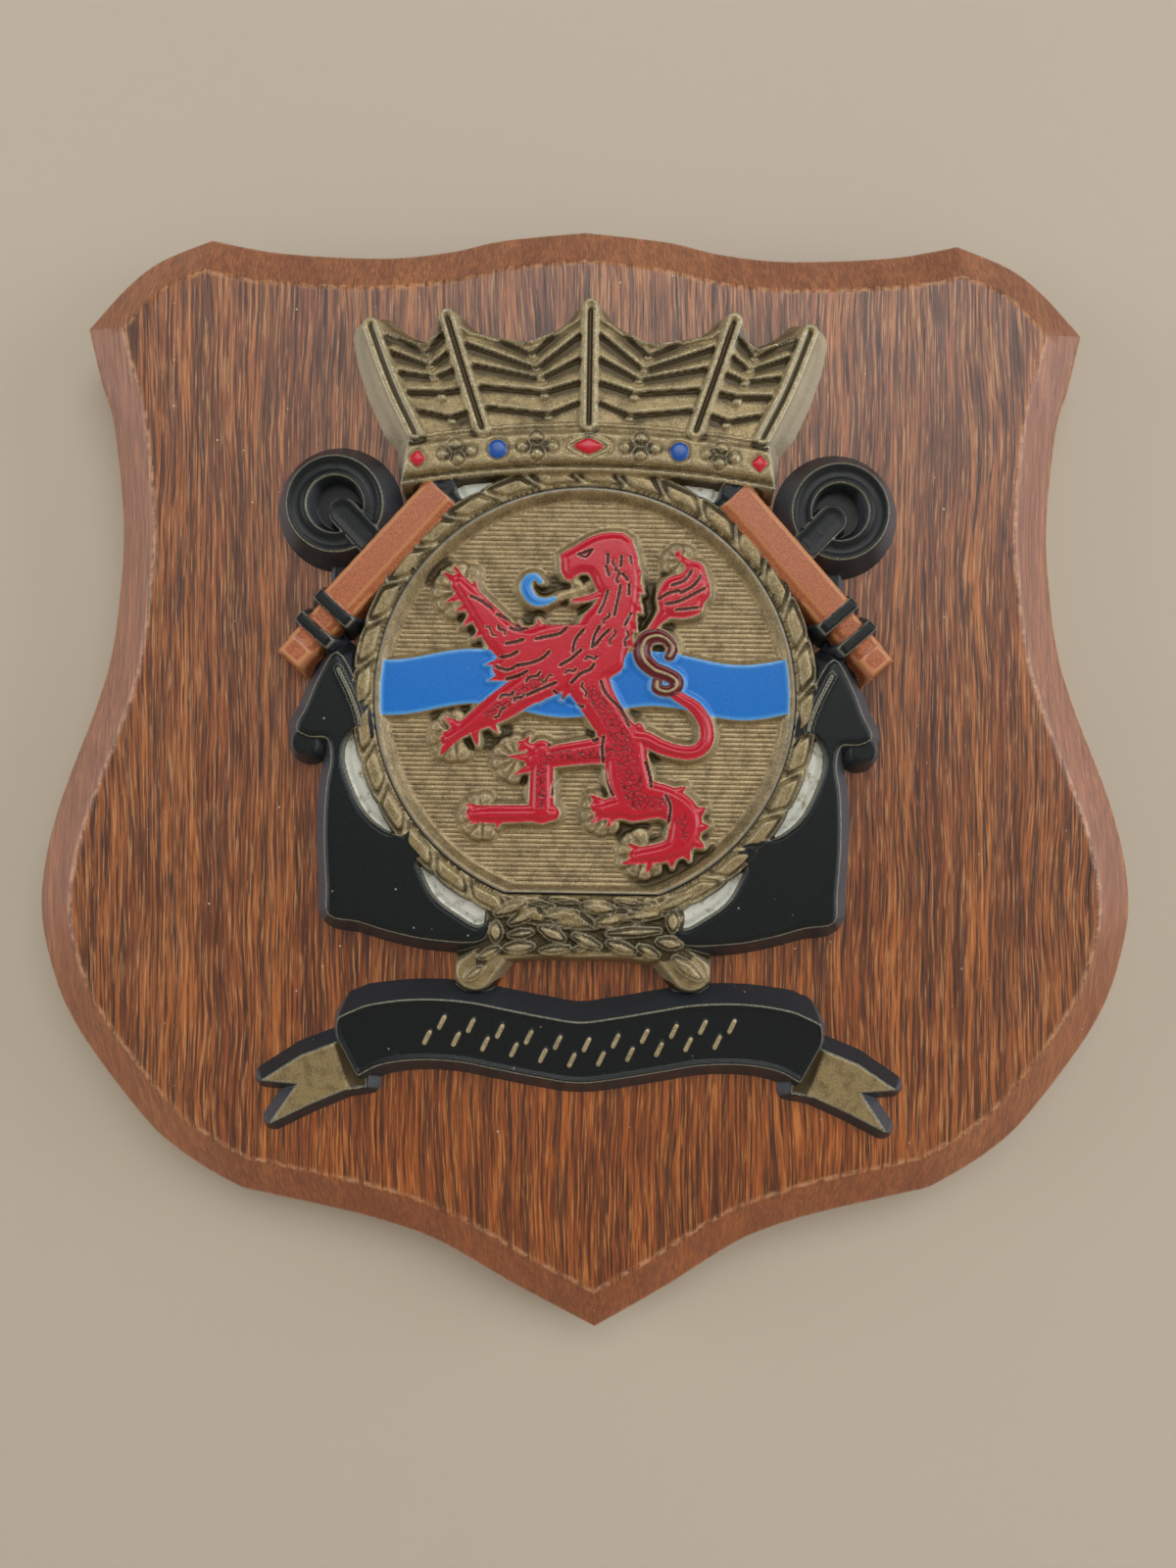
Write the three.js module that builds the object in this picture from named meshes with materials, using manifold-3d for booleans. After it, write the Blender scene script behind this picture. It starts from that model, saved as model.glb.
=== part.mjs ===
// Heraldic shield plaque, made to hang on a wall. A bevelled hardwood shield carries one painted casting,
// with a crown over a rope ring, two anchors crossed behind it, a knot and a scroll with swallow tails.
// A separate round badge with a lion and a wavy bar is let into the rope ring.
//
// Millimetres, Z up. The plaque hangs upright, its front faces -Y and its flat back lies in the plane y = 0.
// Shapes are drawn flat in the plaque's face, x to the right and y up, and raised towards the viewer.

import * as THREE from 'three';
import Module from 'manifold-3d';

const wasm = await Module();
wasm.setup();

// The wooden shield
const boardWidth = 160;
const boardHeight = 161.3;
const boardThickness = 15;
const chamferWidth = 6.5;
const chamferDepth = 5;
const shoulderDrop = 1.4; // the right shoulder was sawn this much lower than the left
const tipShift = 1.4; // the tip lies this far to the right of the middle

// The slot in the back that hangs on a nail
const slotWidth = 6;
const slotHeight = 16;
const slotDepth = 8;
const slotBelowTop = 26;

// The emblem's place on the shield
const emblemRise = 11.75; // from the shield's middle up to the emblem's own middle
const emblemLean = 0.9; // degrees clockwise, as it was screwed on

// The round badge
const badgeRadius = 29.2;
const badgeDrop = 0.45; // the badge's centre lies this much below the emblem's middle
const badgeGap = 0.3;
const badgeFoot = 27.15; // from the badge's centre down to its flat foot
const badgeRim = 4.8;
const badgeFloor = 3.5;
const rimStep = 0.4; // the flat edge round the badge
const rimSlope = 1.8; // from the edge to the foot of the slope inside it
const footSlope = 1.2; // the same along the flat foot
const waveLength = 24.6;
const waveSwing = 0.9;
const barWidth = 7.8;
const barCentre = 1.5;
const barRelief = 4.4;
const lionHeight = 46;
const lionRelief = 5.3;

// The casting round the badge
const castingRelief = 5;
const castingDraft = 2.3; // how far the foot of a wall stands out beyond its top
const ropeWidth = 2.6;
const ropeRelief = 5.2;
const ropeLeaves = 32;
const ropeNotch = 0.9;
const crescentRelief = 3;

const crownWidth = 62.4;
const crownHeight = 22.7;
const crownOverlap = 1.5; // the crown's foot covers this much of the rope ring
const crownFloor = 5.2;
const crownRelief = 6.5;
const crownDraft = 1.9;
const lapCount = 5;
const postWidth = 2.4;
const ribWidth = 1.3;
const bandWidth = 3.8;
const pearlDiameter = 1.7;

const eyeDiameter = 13.4;
const eyeDraft = 1.5;
const eyeRelief = 4.5;
const eyeBore = 8.2;
const boreDraft = 0.6;
const eyeFloor = 1.4;
const webRelief = 1.25; // the low web that joins the eye to the anchor's hook
const hookRadius = 1.5;
const shankWidth = 4.9;
const stockWidth = 5;
const stockRelief = 5.6;
const stockBandExtra = 1.2;
const bandRelief = 5.8;

const knotRelief = 4;
const strandRelief = 5;
const strandWidth = 2.1;
const footWidth = 4.2;

const scrollLength = 67.2;
const scrollBand = 8.4;
const scrollWave = 2.9;
const scrollRelief = 4;
const scrollRim = 0.5;
const scrollSink = 0.3;
const footOverlap = 0.5; // how far the knot's feet reach onto the scroll's upper wall
const tailLength = 10.1;
const tailRelief = 3;
const strokeRows = 2;
const strokesInRow = 11;
const strokeHeight = 1.5;
const strokeWidth = 0.7;
const strokeRelief = 0.35;

const seatRadius = badgeRadius + badgeGap;
const ringRadius = seatRadius + ropeWidth;
const cutPast = 1.2; // cuts run this far past the surface that they open

// Solids. An outline is a list of [x, y] points, counterclockwise.

function solid(corners, faces) {
  return new wasm.Manifold(new wasm.Mesh({
    numProp: 3,
    vertProperties: new Float32Array(corners.flat()),
    triVerts: new Uint32Array(faces.flat()),
  }));
}

function join(bodies) {
  return bodies.reduce((whole, body) => whole.add(body));
}

function capFaces(outline) {
  return THREE.ShapeUtils.triangulateShape(outline.map(([x, y]) => new THREE.Vector2(x, y)), []);
}

// A closed body through outlines of equal point count, each at its own height z.
function stack(levels) {
  const count = levels[0].outline.length;
  const top = (levels.length - 1) * count;
  const corners = levels.flatMap(({ outline, z }) => outline.map(([x, y]) => [x, y, z]));
  const faces = [];
  for (let low = 0; low < top; low += count) {
    const high = low + count;
    for (let i = 0; i < count; i += 1) {
      const j = (i + 1) % count;
      faces.push([low + i, low + j, high + j], [low + i, high + j, high + i]);
    }
  }
  for (const [a, b, c] of capFaces(levels[0].outline)) faces.push([c, b, a]);
  for (const [a, b, c] of capFaces(levels.at(-1).outline)) faces.push([top + a, top + b, top + c]);
  return solid(corners, faces);
}

// The outline moved inwards by a distance, or outwards by a negative one, with blunted mitres.
function inset(outline, distance) {
  const count = outline.length;
  const sharpest = 0.4;
  return outline.map(([x, y], i) => {
    const [beforeX, beforeY] = outline[(i + count - 1) % count];
    const [afterX, afterY] = outline[(i + 1) % count];
    const before = new THREE.Vector2(x - beforeX, y - beforeY).normalize();
    const after = new THREE.Vector2(afterX - x, afterY - y).normalize();
    const mitre = distance / Math.max(1 + before.dot(after), sharpest);
    return [x - (before.y + after.y) * mitre, y + (before.x + after.x) * mitre];
  });
}

// A flat-topped form whose walls spread by the draft towards its foot.
function plate(outline, relief, draft) {
  return stack([{ outline: inset(outline, -draft), z: 0 }, { outline, z: relief }]);
}

function ellipse(x, y, radiusX, radiusY, sides) {
  return Array.from({ length: sides }, (_, i) => {
    const angle = (i * 2 * Math.PI) / sides;
    return [x + radiusX * Math.cos(angle), y + radiusY * Math.sin(angle)];
  });
}

// A raised button or pearl with a rounded top, or a pointed one when its crown is small.
function button(x, y, radiusX, radiusY, relief, sides, crown = 0.55) {
  const shoulder = relief - Math.min(radiusX, radiusY) * 0.5;
  return stack([
    { outline: ellipse(x, y, radiusX, radiusY, sides), z: 0 },
    { outline: ellipse(x, y, radiusX, radiusY, sides), z: shoulder },
    { outline: ellipse(x, y, radiusX * crown, radiusY * crown, sides), z: relief },
  ]);
}

// Sections of a raised strip, from its left foot to its right foot: [side, outwards, share of the relief].
const eaves = 0.8; // where a roof's slopes end, as a share of its ridge
const flatSection = (draft) => [[-1, -draft, 0], [-1, 0, 1], [1, 0, 1], [1, draft, 0]];
const roofSection = (draft) => [[-1, -draft, 0], [-1, 0, eaves], [0, 0, 1], [1, 0, eaves], [1, draft, 0]];

// A strip raised along a smooth line through points [x, y, half width].
function strip(points, section, relief, steps) {
  const knots = points.map((point) => new THREE.Vector3(...point));
  const curve = new THREE.CatmullRomCurve3(knots, false, 'centripetal');
  const stations = curve.getPoints(steps);
  const corners = stations.flatMap((station, i) => {
    const from = stations[Math.max(i - 1, 0)];
    const to = stations[Math.min(i + 1, steps)];
    const along = new THREE.Vector2(to.x - from.x, to.y - from.y).normalize();
    return section.map(([side, outwards, share]) => {
      const across = side * station.z + outwards;
      return [station.x + along.y * across, station.y - along.x * across, share * relief];
    });
  });
  const count = section.length;
  const faces = [];
  for (let i = 0; i < steps; i += 1) {
    for (let k = 0; k < count; k += 1) {
      const here = i * count + k;
      const beside = i * count + ((k + 1) % count);
      faces.push([here, beside + count, here + count], [here, beside, beside + count]);
    }
  }
  const last = steps * count;
  const endFaces = capFaces(section.map(([side, outwards, share]) => [side + outwards, share]).reverse());
  for (const [a, b, c] of endFaces.map((face) => face.map((k) => count - 1 - k))) {
    faces.push([a, b, c], [last + a, last + c, last + b]);
  }
  return solid(corners, faces);
}

const mirrored = ([x, ...rest]) => [-x, ...rest];
const scaled = (points, size) => points.map(([x, y, ...rest]) => [x * size, y * size, ...rest]);
const smooth = (points, steps) => new THREE.SplineCurve(points.map(([x, y]) => new THREE.Vector2(x, y)))
  .getPoints(steps).map(({ x, y }) => [x, y]);

// Points of the shield's right half, in hundredths of half its width and half its height.
function boardOutline() {
  const topEdge = [[0, 100], [15, 98.4], [25, 96.2], [37.5, 95], [56, 95.8], [68.5, 98]];
  const shoulder = [[68.5, 98], [78, 94.1], [84.4, 89.2], [91.4, 81.5]];
  const side = [[91.4, 81.5], [89.1, 71.9], [86.8, 64], [85.1, 47], [85.6, 35], [87.1, 23.6], [90, 13.5],
    [96.9, -4.7], [100, -18.6], [99.3, -30], [94.2, -44.1], [82.2, -60.6], [74.6, -67.8], [64.4, -74],
    [58.8, -75.6], [47.5, -78.1], [38, -80.5], [27.5, -84.4], [13.8, -92.5], [0, -100]];
  const runs = [smooth(topEdge, 9), smooth(shoulder, 4), smooth(side, 34)]
    .map((run) => run.map(([x, y]) => [(x * boardWidth) / 200, (y * boardHeight) / 200]));
  const corners = runs.map((run) => run.at(-1));
  const toCorner = ([x, y]) => Math.min(...corners.map(([cx, cy]) => Math.hypot(x - cx, y - cy)));
  // A point that crowds a sharp corner would lie behind the bevel's mitre, so it is left out
  const right = [...runs.flatMap((run) => run.slice(0, -1)), corners.at(-1)]
    .filter((point) => toCorner(point) === 0 || toCorner(point) > chamferWidth);
  const left = right.slice(1, -1).map(mirrored);
  const tipZone = boardHeight / 8;
  return [...right.reverse(), ...left].map(([x, y]) => [
    x + Math.max(0, 1 - (y + boardHeight / 2) / tipZone) * tipShift,
    y - 2 * shoulderDrop * (Math.max(0, y) / boardHeight) * (x / boardWidth),
  ]);
}

function makeBoard() {
  const outline = boardOutline();
  const blank = stack([
    { outline, z: 0 },
    { outline, z: boardThickness - chamferDepth },
    { outline: inset(outline, chamferWidth), z: boardThickness },
  ]);
  const slotMiddle = boardHeight / 2 - slotBelowTop;
  const halfRun = (slotHeight - slotWidth) / 2;
  const sides = 16;
  const slot = ellipse(0, slotMiddle, slotWidth / 2, slotWidth / 2, sides)
    .map(([x, y], i) => [x, i < sides / 2 ? y + halfRun : y - halfRun]);
  return blank.subtract(stack([{ outline: slot, z: -cutPast }, { outline: slot, z: slotDepth }]));
}

// The badge's edge: a circle with a flat foot, grown by a distance round it and another at its foot.
function badgeOutline(grow, footGrow = grow) {
  const radius = badgeRadius + grow;
  const footAngle = Math.asin(Math.min((badgeFoot + footGrow) / radius, 1));
  const steps = 48;
  return Array.from({ length: steps + 1 }, (_, i) => {
    const angle = -footAngle + (i * (Math.PI + 2 * footAngle)) / steps;
    return [radius * Math.cos(angle), radius * Math.sin(angle) - badgeDrop];
  });
}

function wavyBar() {
  const steps = 22;
  const edge = (offset) => Array.from({ length: steps + 1 }, (_, i) => {
    const x = (i / steps - 0.5) * 2 * badgeRadius;
    const wave = waveSwing * Math.cos((2 * Math.PI * (x - 9.4)) / waveLength);
    return [x, barCentre + offset + wave];
  });
  return plate([...edge(-barWidth / 2), ...edge(barWidth / 2).reverse()], barRelief, 0.8);
}

// The lion, rampant and facing left, in hundredths of its height: strokes of [x, y, half width].
const lionLimbs = [
  { name: 'head', steps: 4, points: [[-7, 39, 3], [-2, 40.5, 4.4], [4, 42, 5.6], [9, 41.5, 5.9]] },
  {
    name: 'back',
    steps: 10,
    points: [[9, 43.5, 5], [10.5, 35, 5.6], [9, 26, 6.2], [4.5, 16, 8.6], [0.5, 7, 7.1], [2.5, 0.5, 5.9],
      [7.5, -7.5, 5.3], [12, -15, 5.9], [13.5, -24, 6.8], [15.5, -31, 6.5]],
  },
  {
    name: 'chest',
    steps: 4,
    points: [[4.5, 14.5, 9.5], [-4.5, 13.5, 9.2], [-13.5, 12, 8.6], [-25.5, 7.5, 3.2]],
  },
  {
    name: 'raised foreleg',
    steps: 5,
    ridged: true,
    points: [[-14.5, 12, 7.7], [-23, 15.5, 5.6], [-29.5, 22.5, 4.4], [-39, 34, 2.7]],
  },
  {
    name: 'lower foreleg',
    steps: 4,
    ridged: true,
    points: [[-10.5, 6, 6.5], [-18, 1, 5], [-26.5, -4.5, 4.4], [-42.5, -15, 1.8]],
  },
  { name: 'thigh', steps: 3, points: [[13, -16, 5.9], [3.5, -17, 3.8], [-14.5, -19.5, 3.2]] },
  { name: 'shin', steps: 2, points: [[-12.5, -17, 3.2], [-12.5, -35.5, 3.7]] },
  { name: 'front foot', steps: 3, points: [[-9.5, -36, 2.4], [-28, -36.5, 2.7], [-33, -36.5, 2.2]] },
  {
    name: 'back leg',
    steps: 6,
    points: [[15.5, -31.5, 6.5], [24.5, -32, 5], [30.5, -36, 5], [30.5, -42, 4.7], [26.5, -46.5, 3.2],
      [16.5, -48.5, 2.4]],
  },
  { name: 'heel', steps: 3, points: [[14, -33, 3.8], [7, -34.5, 3], [3.5, -33.5, 1.2]] },
  { name: 'lower jaw', steps: 3, points: [[7, 31.5, 2.4], [1.5, 27.5, 1.5], [-3.5, 26, 0.9]] },
  {
    name: 'tongue',
    steps: 5,
    points: [[3, 31.5, 0.9], [-7, 29.5, 1.2], [-13, 29.5, 1.5], [-16.5, 32.5, 1.6], [-13.5, 35, 0.9]],
  },
  {
    name: 'tail',
    steps: 14,
    points: [[14.5, -13, 2.7], [23.5, -15.5, 2.4], [30, -17, 2.4], [35, -14.5, 2.1], [37, -8.5, 2.1],
      [34, -3, 2.1], [29.5, 1, 1.8], [24.5, 4, 1.8], [19, 7, 2.1], [17.5, 12.5, 2.2], [20, 17, 2.1],
      [24.5, 15.5, 1]],
  },
  { name: 'tail stem', steps: 3, points: [[20.5, 17, 1.2], [22.5, 22, 1.2], [26, 28, 2]] },
  {
    name: 'tail flame',
    steps: 6,
    ridged: true,
    points: [[25, 26, 1.8], [27, 31, 5], [31, 33, 5.6], [32, 37.5, 3.8], [29, 40.5, 1.8], [27.5, 44, 0.9]],
  },
];

// Claws and tufts, each from its root to its tip.
const lionTufts = [
  [[-38, 33], [-40.5, 39]], [[-37.5, 32.5], [-44, 34]], [[-37, 29.5], [-43, 26.5]],
  [[-38, -11.5], [-43, -8]], [[-39, -14], [-45.5, -13.5]], [[-38.5, -15], [-44, -19.5]],
  [[-13, -18], [-20.5, -14.5]], [[-13, -19], [-24, -19.5]], [[-13, -21.5], [-21.5, -24]],
  [[-30.5, -35.5], [-35, -32.5]], [[-31, -37], [-36, -38.5]], [[-28, -36.5], [-31, -42]],
  [[20, -47], [13.5, -43.5]], [[18.5, -48.5], [12.5, -51.5]], [[23, -48.5], [21.5, -54]],
  [[7, -34], [2, -30.5]], [[6, -35], [2, -38.5]], [[9, -34.5], [7, -40.5]],
  [[-21, 10], [-28.5, 13]], [[-22, 7.5], [-30.5, 5]], [[-19, 5], [-28, 1]],
  [[10, 22], [16, 17]], [[11, 31], [17, 26]], [[28, 2], [29.5, 7.5]],
];

function makeLion() {
  const unit = lionHeight / 100;
  const draft = 0.5;
  const limbs = lionLimbs.map(({ points, steps, ridged }) => strip(
    points.map((point) => point.map((value) => value * unit)),
    ridged ? roofSection(draft) : flatSection(draft),
    lionRelief,
    steps,
  ));
  const tufts = lionTufts.map(([[rootX, rootY], [tipX, tipY]]) => strip(
    [[rootX * unit, rootY * unit, 1.9 * unit], [tipX * unit, tipY * unit, 0.5 * unit]],
    flatSection(draft / 2),
    lionRelief * 0.92,
    1,
  ));
  return join([...limbs, ...tufts]);
}

function makeBadge() {
  const edge = badgeOutline(0);
  const dish = stack([
    { outline: edge, z: 0 },
    { outline: edge, z: badgeRim },
    { outline: badgeOutline(-rimStep), z: badgeRim },
    { outline: badgeOutline(-rimSlope, -footSlope), z: badgeFloor },
  ]);
  const inside = badgeOutline(-rimStep / 2);
  const blank = stack([{ outline: inside, z: 0 }, { outline: inside, z: lionRelief + cutPast }]);
  return dish.add(join([wavyBar(), makeLion()]).intersect(blank));
}

// The rope ring: long slanted leaves with a notch between them.
function ropeRing() {
  const stepsPerLeaf = 2;
  const steps = ropeLeaves * stepsPerLeaf;
  const slant = (2 * Math.PI * 0.45) / ropeLeaves;
  const section = [
    { radius: seatRadius + 0.05, height: 0, drop: 0, lag: 0 },
    { radius: seatRadius + 0.05, height: ropeRelief - 0.7, drop: 0, lag: 0 },
    { radius: seatRadius + ropeWidth * 0.45, height: ropeRelief, drop: 1, lag: 0.45 },
    { radius: ringRadius, height: ropeRelief - 0.7, drop: 1, lag: 1 },
    { radius: ringRadius + 1.2, height: 0, drop: 0, lag: 1 },
  ];
  const count = section.length;
  const corners = [];
  const faces = [];
  for (let i = 0; i < steps; i += 1) {
    const notch = i % stepsPerLeaf === 0 ? ropeNotch : 0;
    for (const { radius, height, drop, lag } of section) {
      const angle = (i * 2 * Math.PI) / steps + slant * lag;
      corners.push([radius * Math.cos(angle), radius * Math.sin(angle) - badgeDrop, height - notch * drop]);
    }
    const next = ((i + 1) % steps) * count;
    for (let k = 0; k < count; k += 1) {
      const here = i * count + k;
      const beside = i * count + ((k + 1) % count);
      const nextBeside = next + ((k + 1) % count);
      faces.push([here, nextBeside, next + k], [here, beside, nextBeside]);
    }
  }
  return solid(corners, faces);
}

// The crown, in hundredths of half its width (x) and of its height above its foot (y).
const crownFoot = ringRadius - crownOverlap;
const crownPoint = ([x, y]) => [(x * crownWidth) / 200, crownFoot + (y * crownHeight) / 100];
const crownPosts = [
  [[0, 100], [0, 22]],
  [[63.5, 94.5], [47, 24]],
  [[98.5, 88], [77.5, 19]],
];
const crownRibs = [
  [[27.8, 78.5], [24.2, 63], [20.5, 50], [17.5, 24]],
  [[74, 76.5], [71, 63.5], [66.5, 49.5], [58.5, 22]],
];
const crownBand = [[78.5, 3.5], [40, 9], [0, 11], [-40, 9], [-78.5, 3.5]];

// One half panel of overlapping boards between a post and a rib, each board sloping up to its lower edge.
function lapPanel(post, rib) {
  const postLine = new THREE.SplineCurve(post.map((point) => new THREE.Vector2(...crownPoint(point))));
  const ribLine = new THREE.SplineCurve(rib.map((point) => new THREE.Vector2(...crownPoint(point))));
  const levels = [];
  for (let lap = 0; lap < lapCount; lap += 1) {
    levels.push([lap / lapCount, 0.1], [(lap + 0.95) / lapCount, 1]);
  }
  const corners = levels.flatMap(([share, height]) => {
    const atPost = postLine.getPoint(0.08 + 0.92 * share);
    const atRib = ribLine.getPoint(share);
    const top = crownFloor - 0.2 + height * (crownRelief - crownFloor);
    return [
      [atPost.x, atPost.y, 0],
      [atPost.x, atPost.y, top],
      [atRib.x, atRib.y, top],
      [atRib.x, atRib.y, 0],
    ];
  });
  const faces = [];
  for (let i = 0; i < levels.length - 1; i += 1) {
    for (let k = 0; k < 4; k += 1) {
      const here = i * 4 + k;
      const beside = i * 4 + ((k + 1) % 4);
      faces.push([here, here + 4, beside + 4], [here, beside + 4, beside]);
    }
  }
  const last = (levels.length - 1) * 4;
  faces.push([0, 1, 2], [0, 2, 3], [last, last + 2, last + 1], [last, last + 3, last + 2]);
  const turned = postLine.getPoint(0).x > ribLine.getPoint(0).x;
  return solid(corners, turned ? faces.map(([a, b, c]) => [a, c, b]) : faces);
}

function makeCrown() {
  const halfOutline = [[0, 95], [28, 79], [63.5, 87], [74, 77], [100, 88], [98, 72], [93, 52], [86.5, 33.5],
    [80.5, 18.5], [76.5, -5], [40, -2], [0, 0]].reverse();
  const outline = [...halfOutline, ...halfOutline.slice(1, -1).reverse().map(mirrored)].map(crownPoint);
  const parts = [plate(outline, crownFloor, crownDraft)];
  const panels = [[0, 0], [1, 0], [1, 1], [2, 1]];
  for (const flip of [(point) => point, mirrored]) {
    for (const [post, rib] of panels) {
      parts.push(lapPanel(crownPosts[post].map(flip), crownRibs[rib].map(flip)));
    }
    for (const rib of crownRibs) {
      const points = rib.map((point) => [...crownPoint(flip(point)), ribWidth / 2]);
      parts.push(strip(points, flatSection(0.3), crownRelief, 3));
    }
    for (const post of crownPosts) {
      if (post[0][0] === 0 && flip === mirrored) continue;
      const points = post.map((point) => [...crownPoint(flip(point)), postWidth / 2]);
      parts.push(strip(points, roofSection(0.4), crownRelief + 0.4, 1));
    }
  }
  const band = crownBand.map((point) => [...crownPoint(point), bandWidth / 2]);
  parts.push(strip(band, flatSection(0.6), crownRelief, 8));
  const middle = new THREE.SplineCurve(band.map(([x, y]) => new THREE.Vector2(x, y)));
  const onBand = (x) => middle.getPoint(0.5 - x / 2).toArray();
  const jewelTop = crownRelief + 0.7;
  parts.push(button(...onBand(0), bandWidth / 2, bandWidth * 0.4, jewelTop - 0.3, 10, 0.8));
  parts.push(button(...onBand(0), bandWidth * 0.55, bandWidth * 0.26, jewelTop + 0.3, 4, 0.3));
  for (const side of [-1, 1]) {
    parts.push(button(...onBand(side * 0.97), bandWidth * 0.3, bandWidth * 0.26, jewelTop, 4, 0.3));
    parts.push(button(...onBand(side * 0.515), bandWidth * 0.36, bandWidth * 0.36, jewelTop, 8));
    for (const centre of [0.27, 0.74]) {
      for (const [along, across] of [[-0.08, -0.05], [0, 0.2], [0, -0.3], [0.08, -0.05]]) {
        const [x, y] = onBand(side * (centre + along));
        parts.push(button(x, y + across * bandWidth, pearlDiameter / 2, pearlDiameter / 2, jewelTop, 4));
      }
    }
  }
  return parts;
}

// One anchor's visible parts, in hundredths of the rope ring's radius; side is 1 for right, -1 for left.
function makeAnchor(side) {
  const unit = ringRadius / 100;
  const at = (x, y) => [side * x * unit, y * unit];
  const eye = at(111.5, 80.7);
  const shankEnd = at(106, 77);
  const flukeOutline = [[107, 16.8], [97.5, 3], [91.3, -9.3], [89.8, -18.6], [92, -30], [84, -45],
    [60, -75], [42, -90], [42, -106.2], [63.7, -106.8], [82.3, -103.4], [96.3, -99.4], [109, -96.6],
    [110.2, -84], [111.2, -62], [110.6, -43.5], [109, -29.5], [111, -20.5], [120, -18.6], [124, -16],
    [120, -7], [115, 5.6]].map(([x, y]) => at(x, y));
  const stockFrom = new THREE.Vector2(...at(64.6, 84.5));
  const stockTo = new THREE.Vector2(...at(106.8, 37.3));
  const onStock = (share) => stockFrom.clone().lerp(stockTo, share).toArray();
  const half = stockWidth / 2;
  const shankHalf = shankWidth / 2;
  const boreHalf = eyeBore / 2;
  const eyeOutline = (grow) => ellipse(...eye, eyeDiameter / 2 + grow, eyeDiameter / 2 + grow, 18);
  const bar = (from, to, halfWidth, relief) => strip(
    [[...onStock(from), halfWidth], [...onStock(to), halfWidth]],
    roofSection(0.6),
    relief,
    1,
  );
  const whole = join([
    stack([{ outline: eyeOutline(eyeDraft), z: 0 }, { outline: eyeOutline(0), z: eyeRelief }]),
    plate(side > 0 ? flukeOutline : flukeOutline.reverse(), castingRelief, castingDraft),
    strip([[...at(108, 78), half * 1.05], [...at(110, -17), half * 0.4]], flatSection(0.3), webRelief, 1),
  ]).subtract(stack([
    { outline: ellipse(...eye, boreHalf - boreDraft, boreHalf - boreDraft, 12), z: eyeFloor },
    { outline: ellipse(...eye, boreHalf, boreHalf, 12), z: castingRelief + cutPast },
  ]));
  return join([
    whole,
    strip([[...shankEnd, shankHalf], [...at(75.5, 46.3), shankHalf]], flatSection(0.5), eyeRelief, 1),
    button(...shankEnd, shankHalf, shankHalf, eyeRelief, 10, 0.8),
    bar(-0.28, 1.45, half * 0.85, stockRelief - 0.6),
    bar(-0.06, 1.06, half, stockRelief),
    bar(1, 1.12, half + stockBandExtra / 2, bandRelief),
    bar(1.22, 1.3, half + stockBandExtra / 2, bandRelief),
    bar(-0.1, -0.03, half + stockBandExtra / 4, bandRelief),
    button(...at(118.5, -21), hookRadius, hookRadius, castingRelief, 8),
  ]);
}

// A crescent that bulges out from the rope ring between two angles in degrees.
function crescentOutline(from, to, bulge) {
  const steps = 8;
  const point = (i, outwards) => {
    const angle = THREE.MathUtils.degToRad(from + ((to - from) * i) / steps);
    const radius = ringRadius + (outwards ? bulge * Math.sin((Math.PI * i) / steps) ** 0.7 : -1.4);
    return [radius * Math.cos(angle), radius * Math.sin(angle)];
  };
  const outer = Array.from({ length: steps + 1 }, (_, i) => point(i, true));
  const inner = Array.from({ length: steps + 1 }, (_, i) => point(steps - i, false));
  return [...outer, ...inner];
}

const crescents = [
  crescentOutline(-38, -9, 2.6), crescentOutline(-70, -46, 3.5), crescentOutline(50, 68, 2.6),
  crescentOutline(189, 218, 2.6), crescentOutline(226, 250, 3.5), crescentOutline(112, 130, 2.6),
];

// The knot under the badge, in hundredths of the rope ring's radius.
function makeKnot() {
  const unit = ringRadius / 100;
  const halfBlock = [[0, -113], [33.5, -114.6], [43.5, -110], [41.3, -103.4], [44, -96.3], [41.3, -88.5],
    [34, -84], [0, -83]];
  const block = [...halfBlock, ...halfBlock.slice(1, -1).reverse().map(mirrored)];
  const parts = [plate(scaled(block, unit), knotRelief, 1)];
  const rows = [
    { y: -88.5, reach: 31, strands: 4, sway: 1 }, { y: -95.6, reach: 35, strands: 4, sway: -1 },
    { y: -102.8, reach: 35, strands: 4, sway: 1 }, { y: -110, reach: 32, strands: 5, sway: -1 },
  ];
  for (const { y, reach, strands, sway } of rows) {
    const pitch = (2 * reach) / strands;
    for (let i = 0; i < strands; i += 1) {
      const x = -reach + i * pitch;
      const points = [[x + 1, y + sway], [x + pitch / 2, y], [x + pitch - 1, y - sway]];
      const halves = [0.45, 1, 0.45].map((share) => (share * strandWidth) / 2);
      const line = scaled(points, unit).map((point, k) => [...point, halves[k]]);
      parts.push(strip(line, roofSection(0.25), strandRelief, 2));
    }
  }
  for (const side of [-1, 1]) {
    const foot = scaled([[side * 40, -112], [side * 53, -126]], unit);
    parts.push(strip(foot.map((point) => [...point, footWidth / 2]), flatSection(1.1), knotRelief, 1));
    parts.push(strip(foot.map((point) => [...point, strandWidth / 2]), roofSection(0.3), strandRelief, 1));
    const loop = scaled([[side * 38, -90], [side * 42, -97], [side * 38, -104]], unit);
    parts.push(strip(loop.map((point) => [...point, strandWidth / 2]), roofSection(0.3), strandRelief, 3));
  }
  return parts;
}

// The scroll hangs from the knot's feet; its line waves along its length.
const scrollCrest = -ringRadius * 1.27 + footOverlap - scrollBand / 2 - castingDraft;
const scrollHalf = [[0, -1], [32, -0.42], [60, 0], [83, -0.31], [98, -1.14]];
const scrollLine = new THREE.SplineCurve(
  [...scrollHalf.slice(1).reverse().map(mirrored), ...scrollHalf]
    .map(([x, y]) => new THREE.Vector2((x * scrollLength) / 200, scrollCrest + y * scrollWave)),
);

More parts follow.
